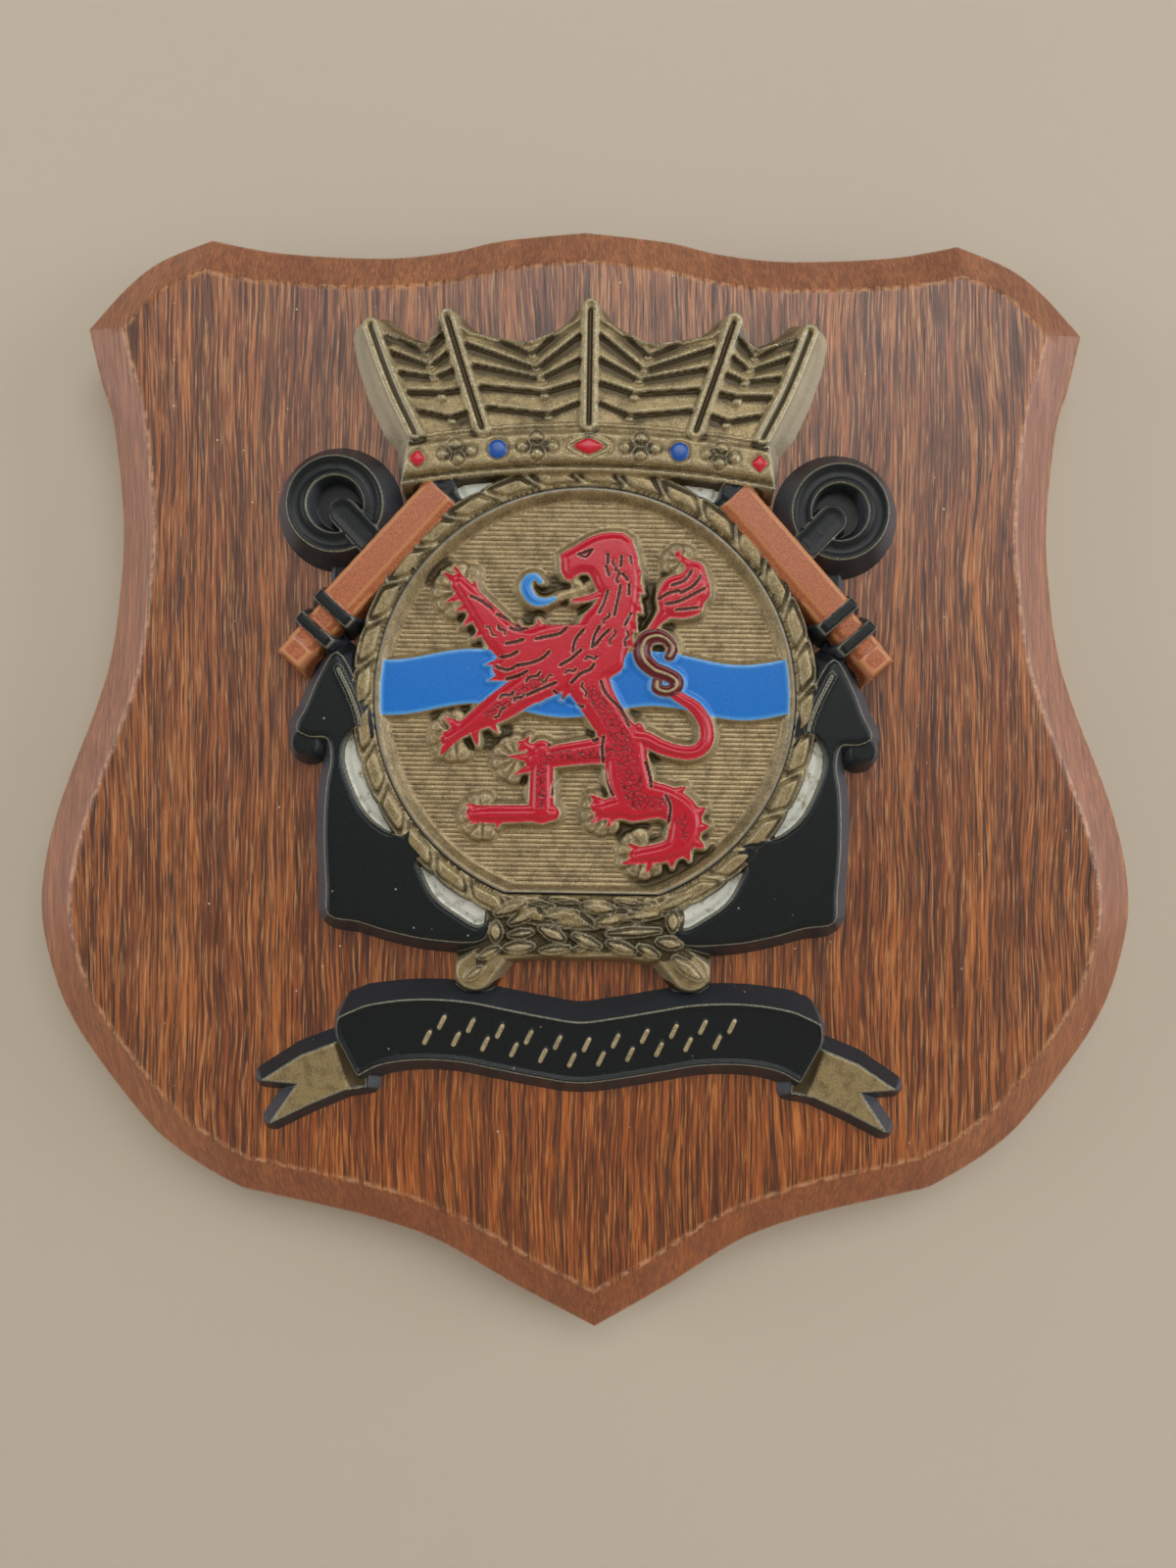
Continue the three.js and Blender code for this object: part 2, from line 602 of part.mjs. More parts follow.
function makeScroll() {
  const steps = 18;
  const rim = scrollRim / (scrollBand / 2);
  const sunk = 1 - scrollSink / scrollRelief;
  const section = [[-1, -castingDraft, 0], [-1, 0, 1], [rim - 1, 0, 1], [rim - 0.95, 0, sunk],
    [0.95 - rim, 0, sunk], [1 - rim, 0, 1], [1, 0, 1], [1, castingDraft, 0]];
  const line = scrollLine.getPoints(steps).map(({ x, y }) => [x, y, scrollBand / 2]);
  const parts = [strip(line, section, scrollRelief, steps)];
  for (const side of [-1, 1]) {
    const tail = [[-52, -15], [-47, -75], [-6, -92], [43, -109], [96, -136], [58, -79], [108, -76],
      [55, -42], [3, -20]].map(([x, y]) => [
      side * (scrollLength / 2 + (x * tailLength) / 100),
      scrollCrest + (y * tailLength) / 100,
    ]);
    parts.push(plate(side > 0 ? tail : tail.reverse(), tailRelief, 1.6));
  }
  // Rows of slanted strokes where the scroll would be lettered
  for (let row = 0; row < strokeRows; row += 1) {
    for (let i = 0; i < strokesInRow; i += 1) {
      const share = 0.19 + (0.62 * (i + (row % 2) / 2)) / (strokesInRow - 0.5);
      const { x, y } = scrollLine.getPoint(share);
      const low = y + (row - strokeRows / 2 + 0.15) * (strokeHeight + 0.6);
      const stroke = [[x - 0.3, low, strokeWidth / 2], [x + 0.3, low + strokeHeight, strokeWidth / 2]];
      parts.push(strip(stroke, flatSection(0.01), scrollRelief * sunk + strokeRelief, 1));
    }
  }
  return parts;
}

function makeCasting() {
  const seatTop = crownRelief + 2 * cutPast;
  const between = (outline, from, to) => stack([{ outline, z: from }, { outline, z: to }]);
  const seat = between(badgeOutline(badgeGap), -cutPast, seatTop);
  const low = crescents.map((outline) => between(outline, 0, crescentRelief));
  const windows = crescents.map((outline) => between(outline, crescentRelief, seatTop));
  const anchors = join([makeAnchor(1), makeAnchor(-1)]).subtract(join(windows));
  return join([anchors, ...low, ropeRing(), ...makeKnot(), ...makeScroll(), ...makeCrown()]).subtract(seat);
}

// Turns a drawing from the face plane upright: y becomes height, and relief points to the front.
function toMesh(name, body, material, { standOff = 0, rise = 0, lean = 0 } = {}) {
  const { numProp, vertProperties, triVerts } = body.getMesh();
  const turn = THREE.MathUtils.degToRad(lean);
  const position = [];
  for (let i = 0; i < vertProperties.length; i += numProp) {
    const [x, y, z] = vertProperties.slice(i, i + 3);
    position.push(
      x * Math.cos(turn) + y * Math.sin(turn),
      -standOff - z,
      rise + y * Math.cos(turn) - x * Math.sin(turn),
    );
  }
  const geometry = new THREE.BufferGeometry();
  geometry.setAttribute('position', new THREE.Float32BufferAttribute(position, 3));
  geometry.setIndex(Array.from(triVerts));
  geometry.computeVertexNormals();
  const mesh = new THREE.Mesh(geometry, material);
  mesh.name = name;
  return mesh;
}

const mahogany = new THREE.MeshStandardMaterial({ color: 0x6b3420, roughness: 0.45, metalness: 0 });
const antiqueGold = new THREE.MeshStandardMaterial({ color: 0x8a7448, roughness: 0.5, metalness: 0.6 });
const redEnamel = new THREE.MeshStandardMaterial({ color: 0xb01c2c, roughness: 0.3, metalness: 0 });

const onFace = { standOff: boardThickness, rise: emblemRise, lean: emblemLean };
const plaque = new THREE.Group();
plaque.add(toMesh('shield_board', makeBoard(), mahogany));
plaque.add(toMesh('crest_casting', makeCasting(), antiqueGold, onFace));
plaque.add(toMesh('badge_roundel', makeBadge(), redEnamel, onFace));

export default plaque;
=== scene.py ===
import math

import bmesh
import bpy
import numpy as np
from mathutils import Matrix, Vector


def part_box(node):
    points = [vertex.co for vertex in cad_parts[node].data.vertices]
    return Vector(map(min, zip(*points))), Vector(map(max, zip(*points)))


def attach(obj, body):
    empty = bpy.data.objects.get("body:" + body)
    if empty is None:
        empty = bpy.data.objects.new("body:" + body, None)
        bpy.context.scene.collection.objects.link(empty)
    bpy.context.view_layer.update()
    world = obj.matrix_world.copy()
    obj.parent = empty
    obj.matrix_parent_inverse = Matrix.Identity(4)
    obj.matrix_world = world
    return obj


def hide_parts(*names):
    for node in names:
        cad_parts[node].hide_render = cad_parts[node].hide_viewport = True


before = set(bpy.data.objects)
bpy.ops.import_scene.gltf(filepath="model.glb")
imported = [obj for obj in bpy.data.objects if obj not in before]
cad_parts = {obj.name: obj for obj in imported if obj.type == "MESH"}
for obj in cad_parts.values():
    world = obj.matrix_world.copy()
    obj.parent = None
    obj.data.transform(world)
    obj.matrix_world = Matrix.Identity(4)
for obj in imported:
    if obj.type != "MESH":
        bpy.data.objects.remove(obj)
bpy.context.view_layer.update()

# Everything is drawn in millimetres in the plaque's face: u to the right, v up, z towards the viewer.
# Blender gets metres, with the plaque upright, its front towards -Y and its back in the plane y = 0.

boardLow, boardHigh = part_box("shield_board")

plaque = {
    "thickness": (boardHigh.y - boardLow.y) * 1000,
    "height": (boardHigh.z - boardLow.z) * 1000,
    "width": 160.0,
    "emblemRise": 11.75,   # badge centre above the middle of the board
    "emblemLean": 0.9,     # degrees clockwise
}


def onFace(u, v, z, emblem=True):
    # Millimetres on the face to metres in the room
    u, v, z = np.broadcast_arrays(np.asarray(u, float), v, z)
    if emblem:
        turn = math.radians(plaque["emblemLean"])
        x = u * math.cos(turn) + v * math.sin(turn)
        up = plaque["emblemRise"] + v * math.cos(turn) - u * math.sin(turn)
    else:
        x, up = u, v
    return np.stack([x, -(plaque["thickness"] + z), up], -1) / 1000


# Drawing tools


def smoothLine(points, perSpan=6, closed=False):
    # A smooth line through points of any number of values
    knots = [np.array(p, float) for p in points]
    count = len(knots)
    line = []
    spans = count if closed else count - 1
    for i in range(spans):
        a = knots[(i - 1) % count] if closed or i > 0 else knots[0]
        b = knots[i]
        c = knots[(i + 1) % count]
        d = knots[(i + 2) % count] if closed or i + 2 < count else c
        for k in range(perSpan):
            t = k / perSpan
            line.append(0.5 * (2 * b + (c - a) * t + (2 * a - 5 * b + 4 * c - d) * t ** 2
                               + (3 * b - a - 3 * c + d) * t ** 3))
    if not closed:
        line.append(knots[-1])
    return np.array(line)


def mirrorPoints(points):
    return [(-p[0],) + tuple(p[1:]) for p in points]


def softMin(a, b, blend):
    share = np.clip(0.5 + 0.5 * (b - a) / blend, 0, 1)
    return b + (a - b) * share - blend * share * (1 - share)


def softMax(a, b, blend):
    return -softMin(-a, -b, blend)


def ramp(x, low, high):
    t = np.clip((x - low) / (high - low), 0, 1)
    return t * t * (3 - 2 * t)


class Relief:
    # A height map over the face, with one field for each paint and one for the edge lines.
    # Fields are distances in millimetres, positive inside.

    def __init__(self, low, high, stepU, stepV, paints):
        self.lineU = np.arange(low[0], high[0] + stepU, stepU)
        self.lineV = np.arange(low[1], high[1] + stepV, stepV)
        self.gridU, self.gridV = np.meshgrid(self.lineU, self.lineV)
        self.height = np.full(self.gridU.shape, -3.0)
        self.trim = np.full(self.gridU.shape, 1.0)
        self.paint = {name: np.full(self.gridU.shape, -1.0) for name in paints}

    def window(self, points, margin):
        points = np.array([p[:2] for p in points])
        low, high = points.min(0) - margin, points.max(0) + margin
        spanU = np.searchsorted(self.lineU, [low[0], high[0]])
        spanV = np.searchsorted(self.lineV, [low[1], high[1]])
        return slice(*spanV), slice(*spanU)

    def at(self, window):
        return self.gridU[window], self.gridV[window]

    def stroke(self, points, margin=3.5):
        # Distance inside a line of points (u, v, half width)
        window = self.window(points, margin)
        gridU, gridV = self.at(window)
        best = np.full(gridU.shape, -99.0)
        for (u0, v0, r0), (u1, v1, r1) in zip(points[:-1], points[1:]):
            du, dv = u1 - u0, v1 - v0
            length = max(du * du + dv * dv, 1e-9)
            t = np.clip(((gridU - u0) * du + (gridV - v0) * dv) / length, 0, 1)
            away = np.hypot(gridU - u0 - t * du, gridV - v0 - t * dv)
            best = np.maximum(best, r0 + t * (r1 - r0) - away)
        return window, best

    def outline(self, points, margin=3.5):
        # Distance inside a closed outline
        window = self.window(points, margin)
        gridU, gridV = self.at(window)
        nearest = np.full(gridU.shape, 1e9)
        inside = np.zeros(gridU.shape, bool)
        for (u0, v0), (u1, v1) in zip(points, np.roll(points, -1, axis=0)):
            du, dv = u1 - u0, v1 - v0
            t = np.clip(((gridU - u0) * du + (gridV - v0) * dv) / max(du * du + dv * dv, 1e-9), 0, 1)
            nearest = np.minimum(nearest, (gridU - u0 - t * du) ** 2 + (gridV - v0 - t * dv) ** 2)
            if v0 != v1:
                inside ^= ((v0 > gridV) != (v1 > gridV)) & (gridU < u0 + (gridV - v0) * du / dv)
        away = np.sqrt(nearest)
        return window, np.where(inside, away, -away)

    def circle(self, u, v, radius, margin=3.5):
        window = self.window([(u - radius, v - radius), (u + radius, v + radius)], margin)
        gridU, gridV = self.at(window)
        return window, radius - np.hypot(gridU - u, gridV - v)

    def raise_(self, window, height, paint=None, trim=None, wallSlope=2.2):
        # The higher of the new form and what is there, with the paint and edge line of whichever shows
        old = self.height[window]
        lead = (height - old) / wallSlope
        for name, field in self.paint.items():
            if name == paint:
                field[window] = np.maximum(field[window], lead)
            else:
                field[window] = np.minimum(field[window], -lead)
        if trim is not None:
            self.trim[window] = np.where(lead > 0, np.clip(trim, -1, 1), self.trim[window])
        self.height[window] = np.maximum(old, height)

    def coat(self, window, inside, paint):
        # Paints a region without changing its height
        for name, field in self.paint.items():
            if name == paint:
                field[window] = np.maximum(field[window], inside)
            else:
                field[window] = np.minimum(field[window], -inside)

    def groove(self, points, halfWidth, depth, perSpan=6):
        line = smoothLine([tuple(p[:2]) + (halfWidth,) for p in points], perSpan)
        window, inside = self.stroke(line, 2 * halfWidth)
        self.height[window] -= depth * ramp(inside, -0.4 * halfWidth, 0.8 * halfWidth)
        return window, inside


def blurred(field, cells):
    # Three box blurs, which come close to a soft round one
    for _ in range(3):
        for axis in (0, 1):
            reach = max(int(cells), 1)
            padded = np.pad(field, [(reach + 1, reach) if a == axis else (0, 0) for a in (0, 1)], mode="edge")
            total = np.cumsum(padded, axis=axis)
            size = field.shape[axis]
            high = np.take(total, np.arange(2 * reach + 1, 2 * reach + 1 + size), axis=axis)
            low = np.take(total, np.arange(size), axis=axis)
            field = (high - low) / (2 * reach + 1)
    return field


def quadBlocks(cells, rim, fields, levels=3):
    # Squares of 1, 2, 4 or 8 grid cells: four become one where every field runs straight across them
    size = 1 << levels
    rows, columns = cells.shape
    padRows, padColumns = -rows % size, -columns % size
    merged = np.pad(cells, ((0, padRows), (0, padColumns)))
    rim = np.pad(rim, ((0, padRows), (0, padColumns)), constant_values=True)
    fields = [(np.pad(field, ((0, padRows), (0, padColumns)), mode="edge"), slack) for field, slack in fields]
    blocks = []
    for level in range(1, levels + 1):
        half = 1 << (level - 1)
        joined = merged[0::2, 0::2] & merged[1::2, 0::2] & merged[0::2, 1::2] & merged[1::2, 1::2]
        if level == 1:
            for i in range(3):
                for k in range(3):
                    joined &= ~rim[i:rim.shape[0] - 2 + i:2, k:rim.shape[1] - 2 + k:2]
        for field, slack in fields:
            at = field[::half, ::half]
            a, b, c, d = at[:-1:2, :-1:2], at[:-1:2, 2::2], at[2::2, :-1:2], at[2::2, 2::2]
            bend = np.abs(at[:-1:2, 1::2] - (a + b) / 2)
            for middle, straight in ((at[2::2, 1::2], (c + d) / 2), (at[1::2, :-1:2], (a + c) / 2),
                                     (at[1::2, 2::2], (b + d) / 2), (at[1::2, 1::2], (a + b + c + d) / 4)):
                bend = np.maximum(bend, np.abs(middle - straight))
            joined &= bend < slack
        blocks.append((half, merged & ~np.repeat(np.repeat(joined, 2, 0), 2, 1)))
        merged = joined
    blocks.append((size, merged))

    width = rim.shape[1]
    corner = np.zeros(rim.shape, bool)
    for half, final in blocks:
        row, column = np.nonzero(final)
        for down, right in ((0, 0), (0, half), (half, 0), (half, half)):
            corner[row * half + down, column * half + right] = True
    loops, counts = [], []
    for half, final in blocks:
        row, column = np.nonzero(final)
        ring = [(0, k) for k in range(half)] + [(k, half) for k in range(half)]
        ring += [(half, half - k) for k in range(half)] + [(half - k, 0) for k in range(half)]
        index = np.stack([(row * half + down) * width + column * half + right for down, right in ring], 1)
        used = corner.ravel()[index]
        loops.append(index[used])
        counts.append(used.sum(1))
    loops, counts = np.concatenate(loops), np.concatenate(counts)
    return loops // width, loops % width, counts


def filledHollows(field, reach):
    # Closes every hollow narrower than twice the reach, in grid cells
    for pick in (np.maximum, np.minimum):
        for axis in (0, 1):
            padded = np.pad(field, [(reach, reach) if a == axis else (0, 0) for a in (0, 1)], mode="edge")
            size = field.shape[axis]
            field = np.take(padded, np.arange(size), axis=axis)
            for shift in range(1, 2 * reach + 1):
                field = pick(field, np.take(padded, np.arange(shift, shift + size), axis=axis))
    return field


def reliefMesh(name, relief, footprint, step, extra=None):
    # The region where footprint is above 0, its rim drawn onto the outline, with walls down to a flat back
    kept = footprint > 0
    cells = kept[:-1, :-1] & kept[1:, :-1] & kept[:-1, 1:] & kept[1:, 1:]
    for _ in range(3):  # no two cells may touch at a corner only
        a, b, c, d = cells[:-1, :-1], cells[:-1, 1:], cells[1:, :-1], cells[1:, 1:]
        apart = (a & d & ~b & ~c) | (b & c & ~a & ~d)
        cells[:-1, :-1] &= ~apart
        cells[:-1, 1:] &= ~apart
    around = np.zeros(footprint.shape, int)
    for down, right in ((0, 0), (0, 1), (1, 0), (1, 1)):
        around[down:down + cells.shape[0], right:right + cells.shape[1]] += cells
    rim = around < 4

    top = relief.height.clip(0)
    fine = top - blurred(top, 0.3 / step)
    hollow = blurred(filledHollows(top, round(0.8 / step)) - top, 1)
    upper = top.clip(3)
    broad = blurred(upper, 1.2 / step) - upper
    fields = {
        "ridge": np.clip(fine * 6, -1, 1),
        "hollow": np.clip(hollow, 0, 1),
        "recess": np.clip(broad, 0, 1),
        "trim": np.clip(relief.trim, -0.5, 0.5),
    }
    for key, field in relief.paint.items():
        fields["paint" + key.capitalize()] = np.clip(field, -0.4, 0.9)
    fields.update(extra or {})
    loose = {"ridge": 0.2, "hollow": 0.1, "recess": 0.15}
    watched = [(relief.height, 0.01)] + [(field, loose.get(key, 0.06)) for key, field in fields.items()]
    row, column, counts = quadBlocks(cells, rim, watched)
    used, corners = np.unique(row * footprint.shape[1] + column, return_inverse=True)

    slopeV, slopeU = np.gradient(footprint, relief.lineV, relief.lineU)
    steep = np.maximum(slopeU ** 2 + slopeV ** 2, 1e-3).ravel()[used]
    onRim = rim.ravel()[used]
    shift = np.where(onRim, footprint.ravel()[used] / steep, 0)
    limit = 1.5 * step / np.sqrt(steep)
    shift = np.clip(shift, -limit, limit)
    pointU = relief.gridU.ravel()[used] - shift * slopeU.ravel()[used]
    pointV = relief.gridV.ravel()[used] - shift * slopeV.ravel()[used]
    onWood = footprint.ravel()[used] >= relief.height.ravel()[used] - 1e-9
    pointZ = np.where(onRim & onWood, 0.0, top.ravel()[used])

    # Flat back of the same outline; where the front comes down to the wood, both share their vertices
    backRow, backColumn, backCounts = quadBlocks(cells, rim, [])
    backUsed, backCorners = np.unique(backRow * footprint.shape[1] + backColumn, return_inverse=True)
    at = np.searchsorted(used, backUsed).clip(0, len(used) - 1)
    shared = (used[at] == backUsed) & onRim[at]
    welded = shared & (pointZ[at] == 0)
    backU = np.where(shared, pointU[at], relief.gridU.ravel()[backUsed])
    backV = np.where(shared, pointV[at], relief.gridV.ravel()[backUsed])
    backIndex = np.where(welded, at, len(used) + np.cumsum(~welded) - 1)
    points = np.concatenate([onFace(pointU, pointV, pointZ), onFace(backU, backV, 0.0)[~welded]])

    ends = np.cumsum(backCounts)
    turned = np.arange(len(backCorners))
    turned = (ends - 1).repeat(backCounts) - (turned - (ends - backCounts).repeat(backCounts))
    backLoop = backIndex[backCorners[turned]]

    walls = []
    padded = np.pad(cells, 1)
    sides = (
        ((-1, 0), (0, 0), (0, 1)), ((0, 1), (0, 1), (1, 1)),
        ((1, 0), (1, 1), (1, 0)), ((0, -1), (1, 0), (0, 0)),
    )
    for (down, right), (fromDown, fromRight), (toDown, toRight) in sides:
        beyond = padded[1 + down:padded.shape[0] - 1 + down, 1 + right:padded.shape[1] - 1 + right]
        row, column = np.nonzero(cells & ~beyond)
        start = (row + fromDown) * footprint.shape[1] + column + fromRight
        end = (row + toDown) * footprint.shape[1] + column + toRight
        startTop, endTop = np.searchsorted(used, start), np.searchsorted(used, end)
        startFoot = backIndex[np.searchsorted(backUsed, start)]
        endFoot = backIndex[np.searchsorted(backUsed, end)]
        walls.append(np.stack([endTop, startTop, startFoot, endFoot], 1))
    walls = np.concatenate(walls)
    wallUsed = np.stack([np.ones(len(walls), bool), np.ones(len(walls), bool), walls[:, 2] != walls[:, 1],
                         walls[:, 3] != walls[:, 0]], 1)
    real = wallUsed.sum(1) > 2
    walls, wallUsed = walls[real], wallUsed[real]

    loops = np.concatenate([corners, walls[wallUsed], backLoop])
    counts = np.concatenate([counts, wallUsed.sum(1), backCounts])
    mesh = bpy.data.meshes.new(name)
    mesh.vertices.add(len(points))
    mesh.vertices.foreach_set("co", points.astype(np.float32).ravel())
    mesh.loops.add(len(loops))
    mesh.loops.foreach_set("vertex_index", loops.astype(np.int32))
    mesh.polygons.add(len(counts))
    mesh.polygons.foreach_set("loop_start", (np.cumsum(counts) - counts).astype(np.int32))
    mesh.polygons.foreach_set("use_smooth", np.arange(len(counts)) < len(counts) - len(backCounts))
    mesh.update(calc_edges=True)
    onBack = np.zeros(len(points), bool)
    onBack[backLoop] = True
    edges = np.empty(len(mesh.edges) * 2, np.int32)
    mesh.edges.foreach_get("vertices", edges)
    mesh.edges.foreach_set("use_edge_sharp", onBack[edges.reshape(-1, 2)].all(1))
    for key, field in fields.items():
        attribute = mesh.attributes.new(key, "FLOAT", "POINT")
        value = np.zeros(len(points))
        value[:len(used)] = field.ravel()[used]
        attribute.data.foreach_set("value", value.astype(np.float32))
    print("   ", name, int((counts - 2).sum()), "triangles")

    piece = bpy.data.objects.new(name, mesh)
    bpy.context.scene.collection.objects.link(piece)
    return piece


# The shield board

board = {
    "bevelWidth": 6.5,
    "bevelDepth": 5.0,
    "arris": 0.75,         # how far each long edge is rubbed round
    "backArris": 0.5,
    "shoulderDrop": 1.4,   # right shoulder lower than the left
    "tipShift": 1.4,
    "slotWidth": 6.0,
    "slotHeight": 16.0,
    "slotDepth": 8.0,
    "slotBelowTop": 26.0,
}


def boardOutline():
    # Right half in hundredths of half the width and half the height
    runs = [
        ([(0, 100), (15, 98.4), (25, 96.2), (37.5, 95), (56, 95.8), (68.5, 98)], 8),
        ([(68.5, 98), (78, 94.1), (84.4, 89.2), (91.4, 81.5)], 5),
        ([(91.4, 81.5), (89.1, 71.9), (86.8, 64), (85.1, 47), (85.6, 35), (87.1, 23.6), (90, 13.5),
          (96.9, -4.7), (100, -18.6), (99.3, -30), (94.2, -44.1), (82.2, -60.6), (74.6, -67.8), (64.4, -74),
          (58.8, -75.6), (47.5, -78.1), (38, -80.5), (27.5, -84.4), (13.8, -92.5), (0, -100)], 7),
    ]
    half = plaque["width"] / 200, plaque["height"] / 200
    right = []
    corners = []
    for points, perSpan in runs:
        right += list(smoothLine(points, perSpan))[:-1]
        corners.append(len(right))
    right.append(np.array([0.0, -100.0]))
    left = [p * (-1, 1) for p in right[1:-1]][::-1]
    outline = np.array(right + left) * half
    count = len(outline)
    sharp = corners + [(count - c) % count for c in corners[:2]]
    tipZone = plaque["height"] / 8
    low = np.maximum(0, 1 - (outline[:, 1] + plaque["height"] / 2) / tipZone)
    lean = np.maximum(0, outline[:, 1]) / plaque["height"] * outline[:, 0] / plaque["width"]
    outline[:, 0] += low * board["tipShift"]
    outline[:, 1] -= 2 * board["shoulderDrop"] * lean
    return outline[::-1], [count - 1 - s for s in sharp]


def insetLoop(outline, sharp, distance):
    # The outline moved inwards; points that would cross a mitre gather on it
    before = outline - np.roll(outline, 1, axis=0)
    after = np.roll(outline, -1, axis=0) - outline
    before /= np.linalg.norm(before, axis=1)[:, None]
    after /= np.linalg.norm(after, axis=1)[:, None]
    dot = np.maximum(1 + (before * after).sum(1), 0.4)
    side = np.stack([-(before[:, 1] + after[:, 1]), before[:, 0] + after[:, 0]], 1)
    moved = outline + side * (distance / dot)[:, None]
    if distance <= 0.2:
        return moved
    count = len(outline)
    for corner in sharp:
        for step in (-1, 1):
            for k in range(1, 24):
                i = (corner + step * k) % count
                run = outline[i] - outline[corner]
                reach = np.linalg.norm(moved[corner] - outline[corner]) ** 2 - distance ** 2
                if np.linalg.norm(run) < math.sqrt(max(reach, 0)) * 1.02:
                    moved[i] = moved[corner]
    return moved


def makeBoard():
    outline, sharp = boardOutline()
    thickness = plaque["thickness"]
    slope = np.array([board["bevelWidth"], board["bevelDepth"]])
    shoulder = np.array([0, thickness - board["bevelDepth"]])
    crest = np.array([board["bevelWidth"], thickness])
    along = slope / np.linalg.norm(slope)

    def rounded(start, corner, end):
        shares = np.linspace(0, 1, 5)
        return [(1 - t) ** 2 * start + 2 * t * (1 - t) * corner + t ** 2 * end for t in shares]

    arris, backArris = board["arris"], board["backArris"]
    profile = rounded(np.array([backArris, 0.0]), np.array([0.0, 0.0]), np.array([0.0, backArris]))
    profile += rounded(shoulder - (0, arris * 1.3), shoulder, shoulder + along * arris * 1.3)
    profile += rounded(crest - along * arris, crest, crest + (arris, 0))
    lineOf = [9.0, 9.0, 9.0, 9.0, 9.0, 1.0, 0.5, 0.0, 0.5, 1.0, 1.0, 0.5, 0.0, 0.5, 1.0]

    solid = bmesh.new()
    edgeLine = solid.verts.layers.float.new("edgeLine")
    loops = []
    for (inset, z), line in zip(profile, lineOf):
        ring = insetLoop(outline, sharp, inset)
        points = onFace(ring[:, 0], ring[:, 1], z - thickness, emblem=False)
        verts = [solid.verts.new(p) for p in points]
        for vert in verts:
            vert[edgeLine] = min(line, 1.0)
        loops.append(verts)
    count = len(outline)
    for low, high in zip(loops[:-1], loops[1:]):
        for i in range(count):
            j = (i + 1) % count
            solid.faces.new((low[i], low[j], high[j], high[i]))
    solid.faces.new(loops[-1])

    # The nail slot: rounded mouth, straight walls, flat floor
    radius, run = board["slotWidth"] / 2, (board["slotHeight"] - board["slotWidth"]) / 2
    middle = plaque["height"] / 2 - board["slotBelowTop"]
    sides = 32
    slotLoops = []
    for grow, z in [(0.4, 0.0), (0.12, 0.12), (0.0, 0.4), (0.0, board["slotDepth"])]:
        ring = []
        for i in range(sides):
            angle = 2 * math.pi * (i + 0.5) / sides
            up = run if i < sides / 2 else -run
            reach = radius + grow
            ring.append(onFace(reach * math.cos(angle), middle + up + reach * math.sin(angle), z - thickness,
                               emblem=False))
        verts = [solid.verts.new(p) for p in ring]
        for vert in verts:
            vert[edgeLine] = 1.0
        slotLoops.append(verts)
    for low, high in zip(slotLoops[:-1], slotLoops[1:]):
        for i in range(sides):
            j = (i + 1) % sides
            solid.faces.new((high[i], high[j], low[j], low[i]))
    solid.faces.new(slotLoops[-1])
    mouth = [solid.edges.get((ring[i], ring[(i + 1) % len(ring)])) for ring in (loops[0], slotLoops[0])
             for i in range(len(ring))]
    bmesh.ops.triangle_fill(solid, edges=mouth, use_beauty=False)
    bmesh.ops.remove_doubles(solid, verts=solid.verts, dist=1e-6)
    bmesh.ops.dissolve_degenerate(solid, dist=1e-6, edges=solid.edges)
    bmesh.ops.recalc_face_normals(solid, faces=solid.faces)
    for face in solid.faces:
        face.smooth = True
    mesh = bpy.data.meshes.new("mahogany_board")
    solid.to_mesh(mesh)
    solid.free()
    piece = bpy.data.objects.new("mahogany_board", mesh)
    bpy.context.scene.collection.objects.link(piece)
    even = piece.modifiers.new("even shading", "WEIGHTED_NORMAL")
    even.weight = 100
    print("   ", piece.name, len(mesh.polygons), "faces")
    return piece


# The crest casting

casting = {
    "step": 0.222,
    "relief": 5.0,
    "draft": 2.3,          # how far a wall's foot stands out from its top edge
    "badgeDrop": 0.45,     # the badge's centre below the emblem's
    "seatRadius": 29.5,
    "seatFoot": 27.45,     # the flat under the badge
}

anchor = {
    "eye": (35.2, 26.1),
    "eyeRadius": 6.7,
    "boreRadius": 4.05,
    "eyeRelief": 4.6,
    "eyeFloor": 1.4,
    "shank": [(34.0, 24.9, 1.95), (24.3, 14.9, 1.95)],
    "hook": (38.9, -7.1, 1.7),
    "web": [(33.6, 25.0, 2.0), (34.6, 15.0, 1.2), (36.4, 6.0, 2.0), (36.8, -6.0, 1.0)],
    "blade": [(34.2, 3.0, 0.16), (32.3, -0.8, 0.16), (31.1, -4.4, 0.16), (31.2, -7.5, 0.14)],
    "stockFrom": (20.8, 27.2),
    "stockTo": (34.4, 12.0),
    "stockHalf": 2.55,
    "stockRelief": 5.7,
    "arm": [(34.5, 5.4), (31.6, 1.0), (29.4, -3.0), (28.9, -6.0), (29.6, -9.7), (27.0, -14.5), (19.3, -24.1),
            (13.5, -29.0), (13.5, -34.2), (20.5, -34.4), (26.5, -33.3), (31.0, -32.0), (35.1, -31.1),
            (35.5, -27.0), (35.9, -20.0), (35.7, -13.5), (35.1, -9.5), (35.7, -6.6), (38.2, -6.4),
            (40.0, -5.2), (38.7, -2.3), (37.0, 1.8)],
}


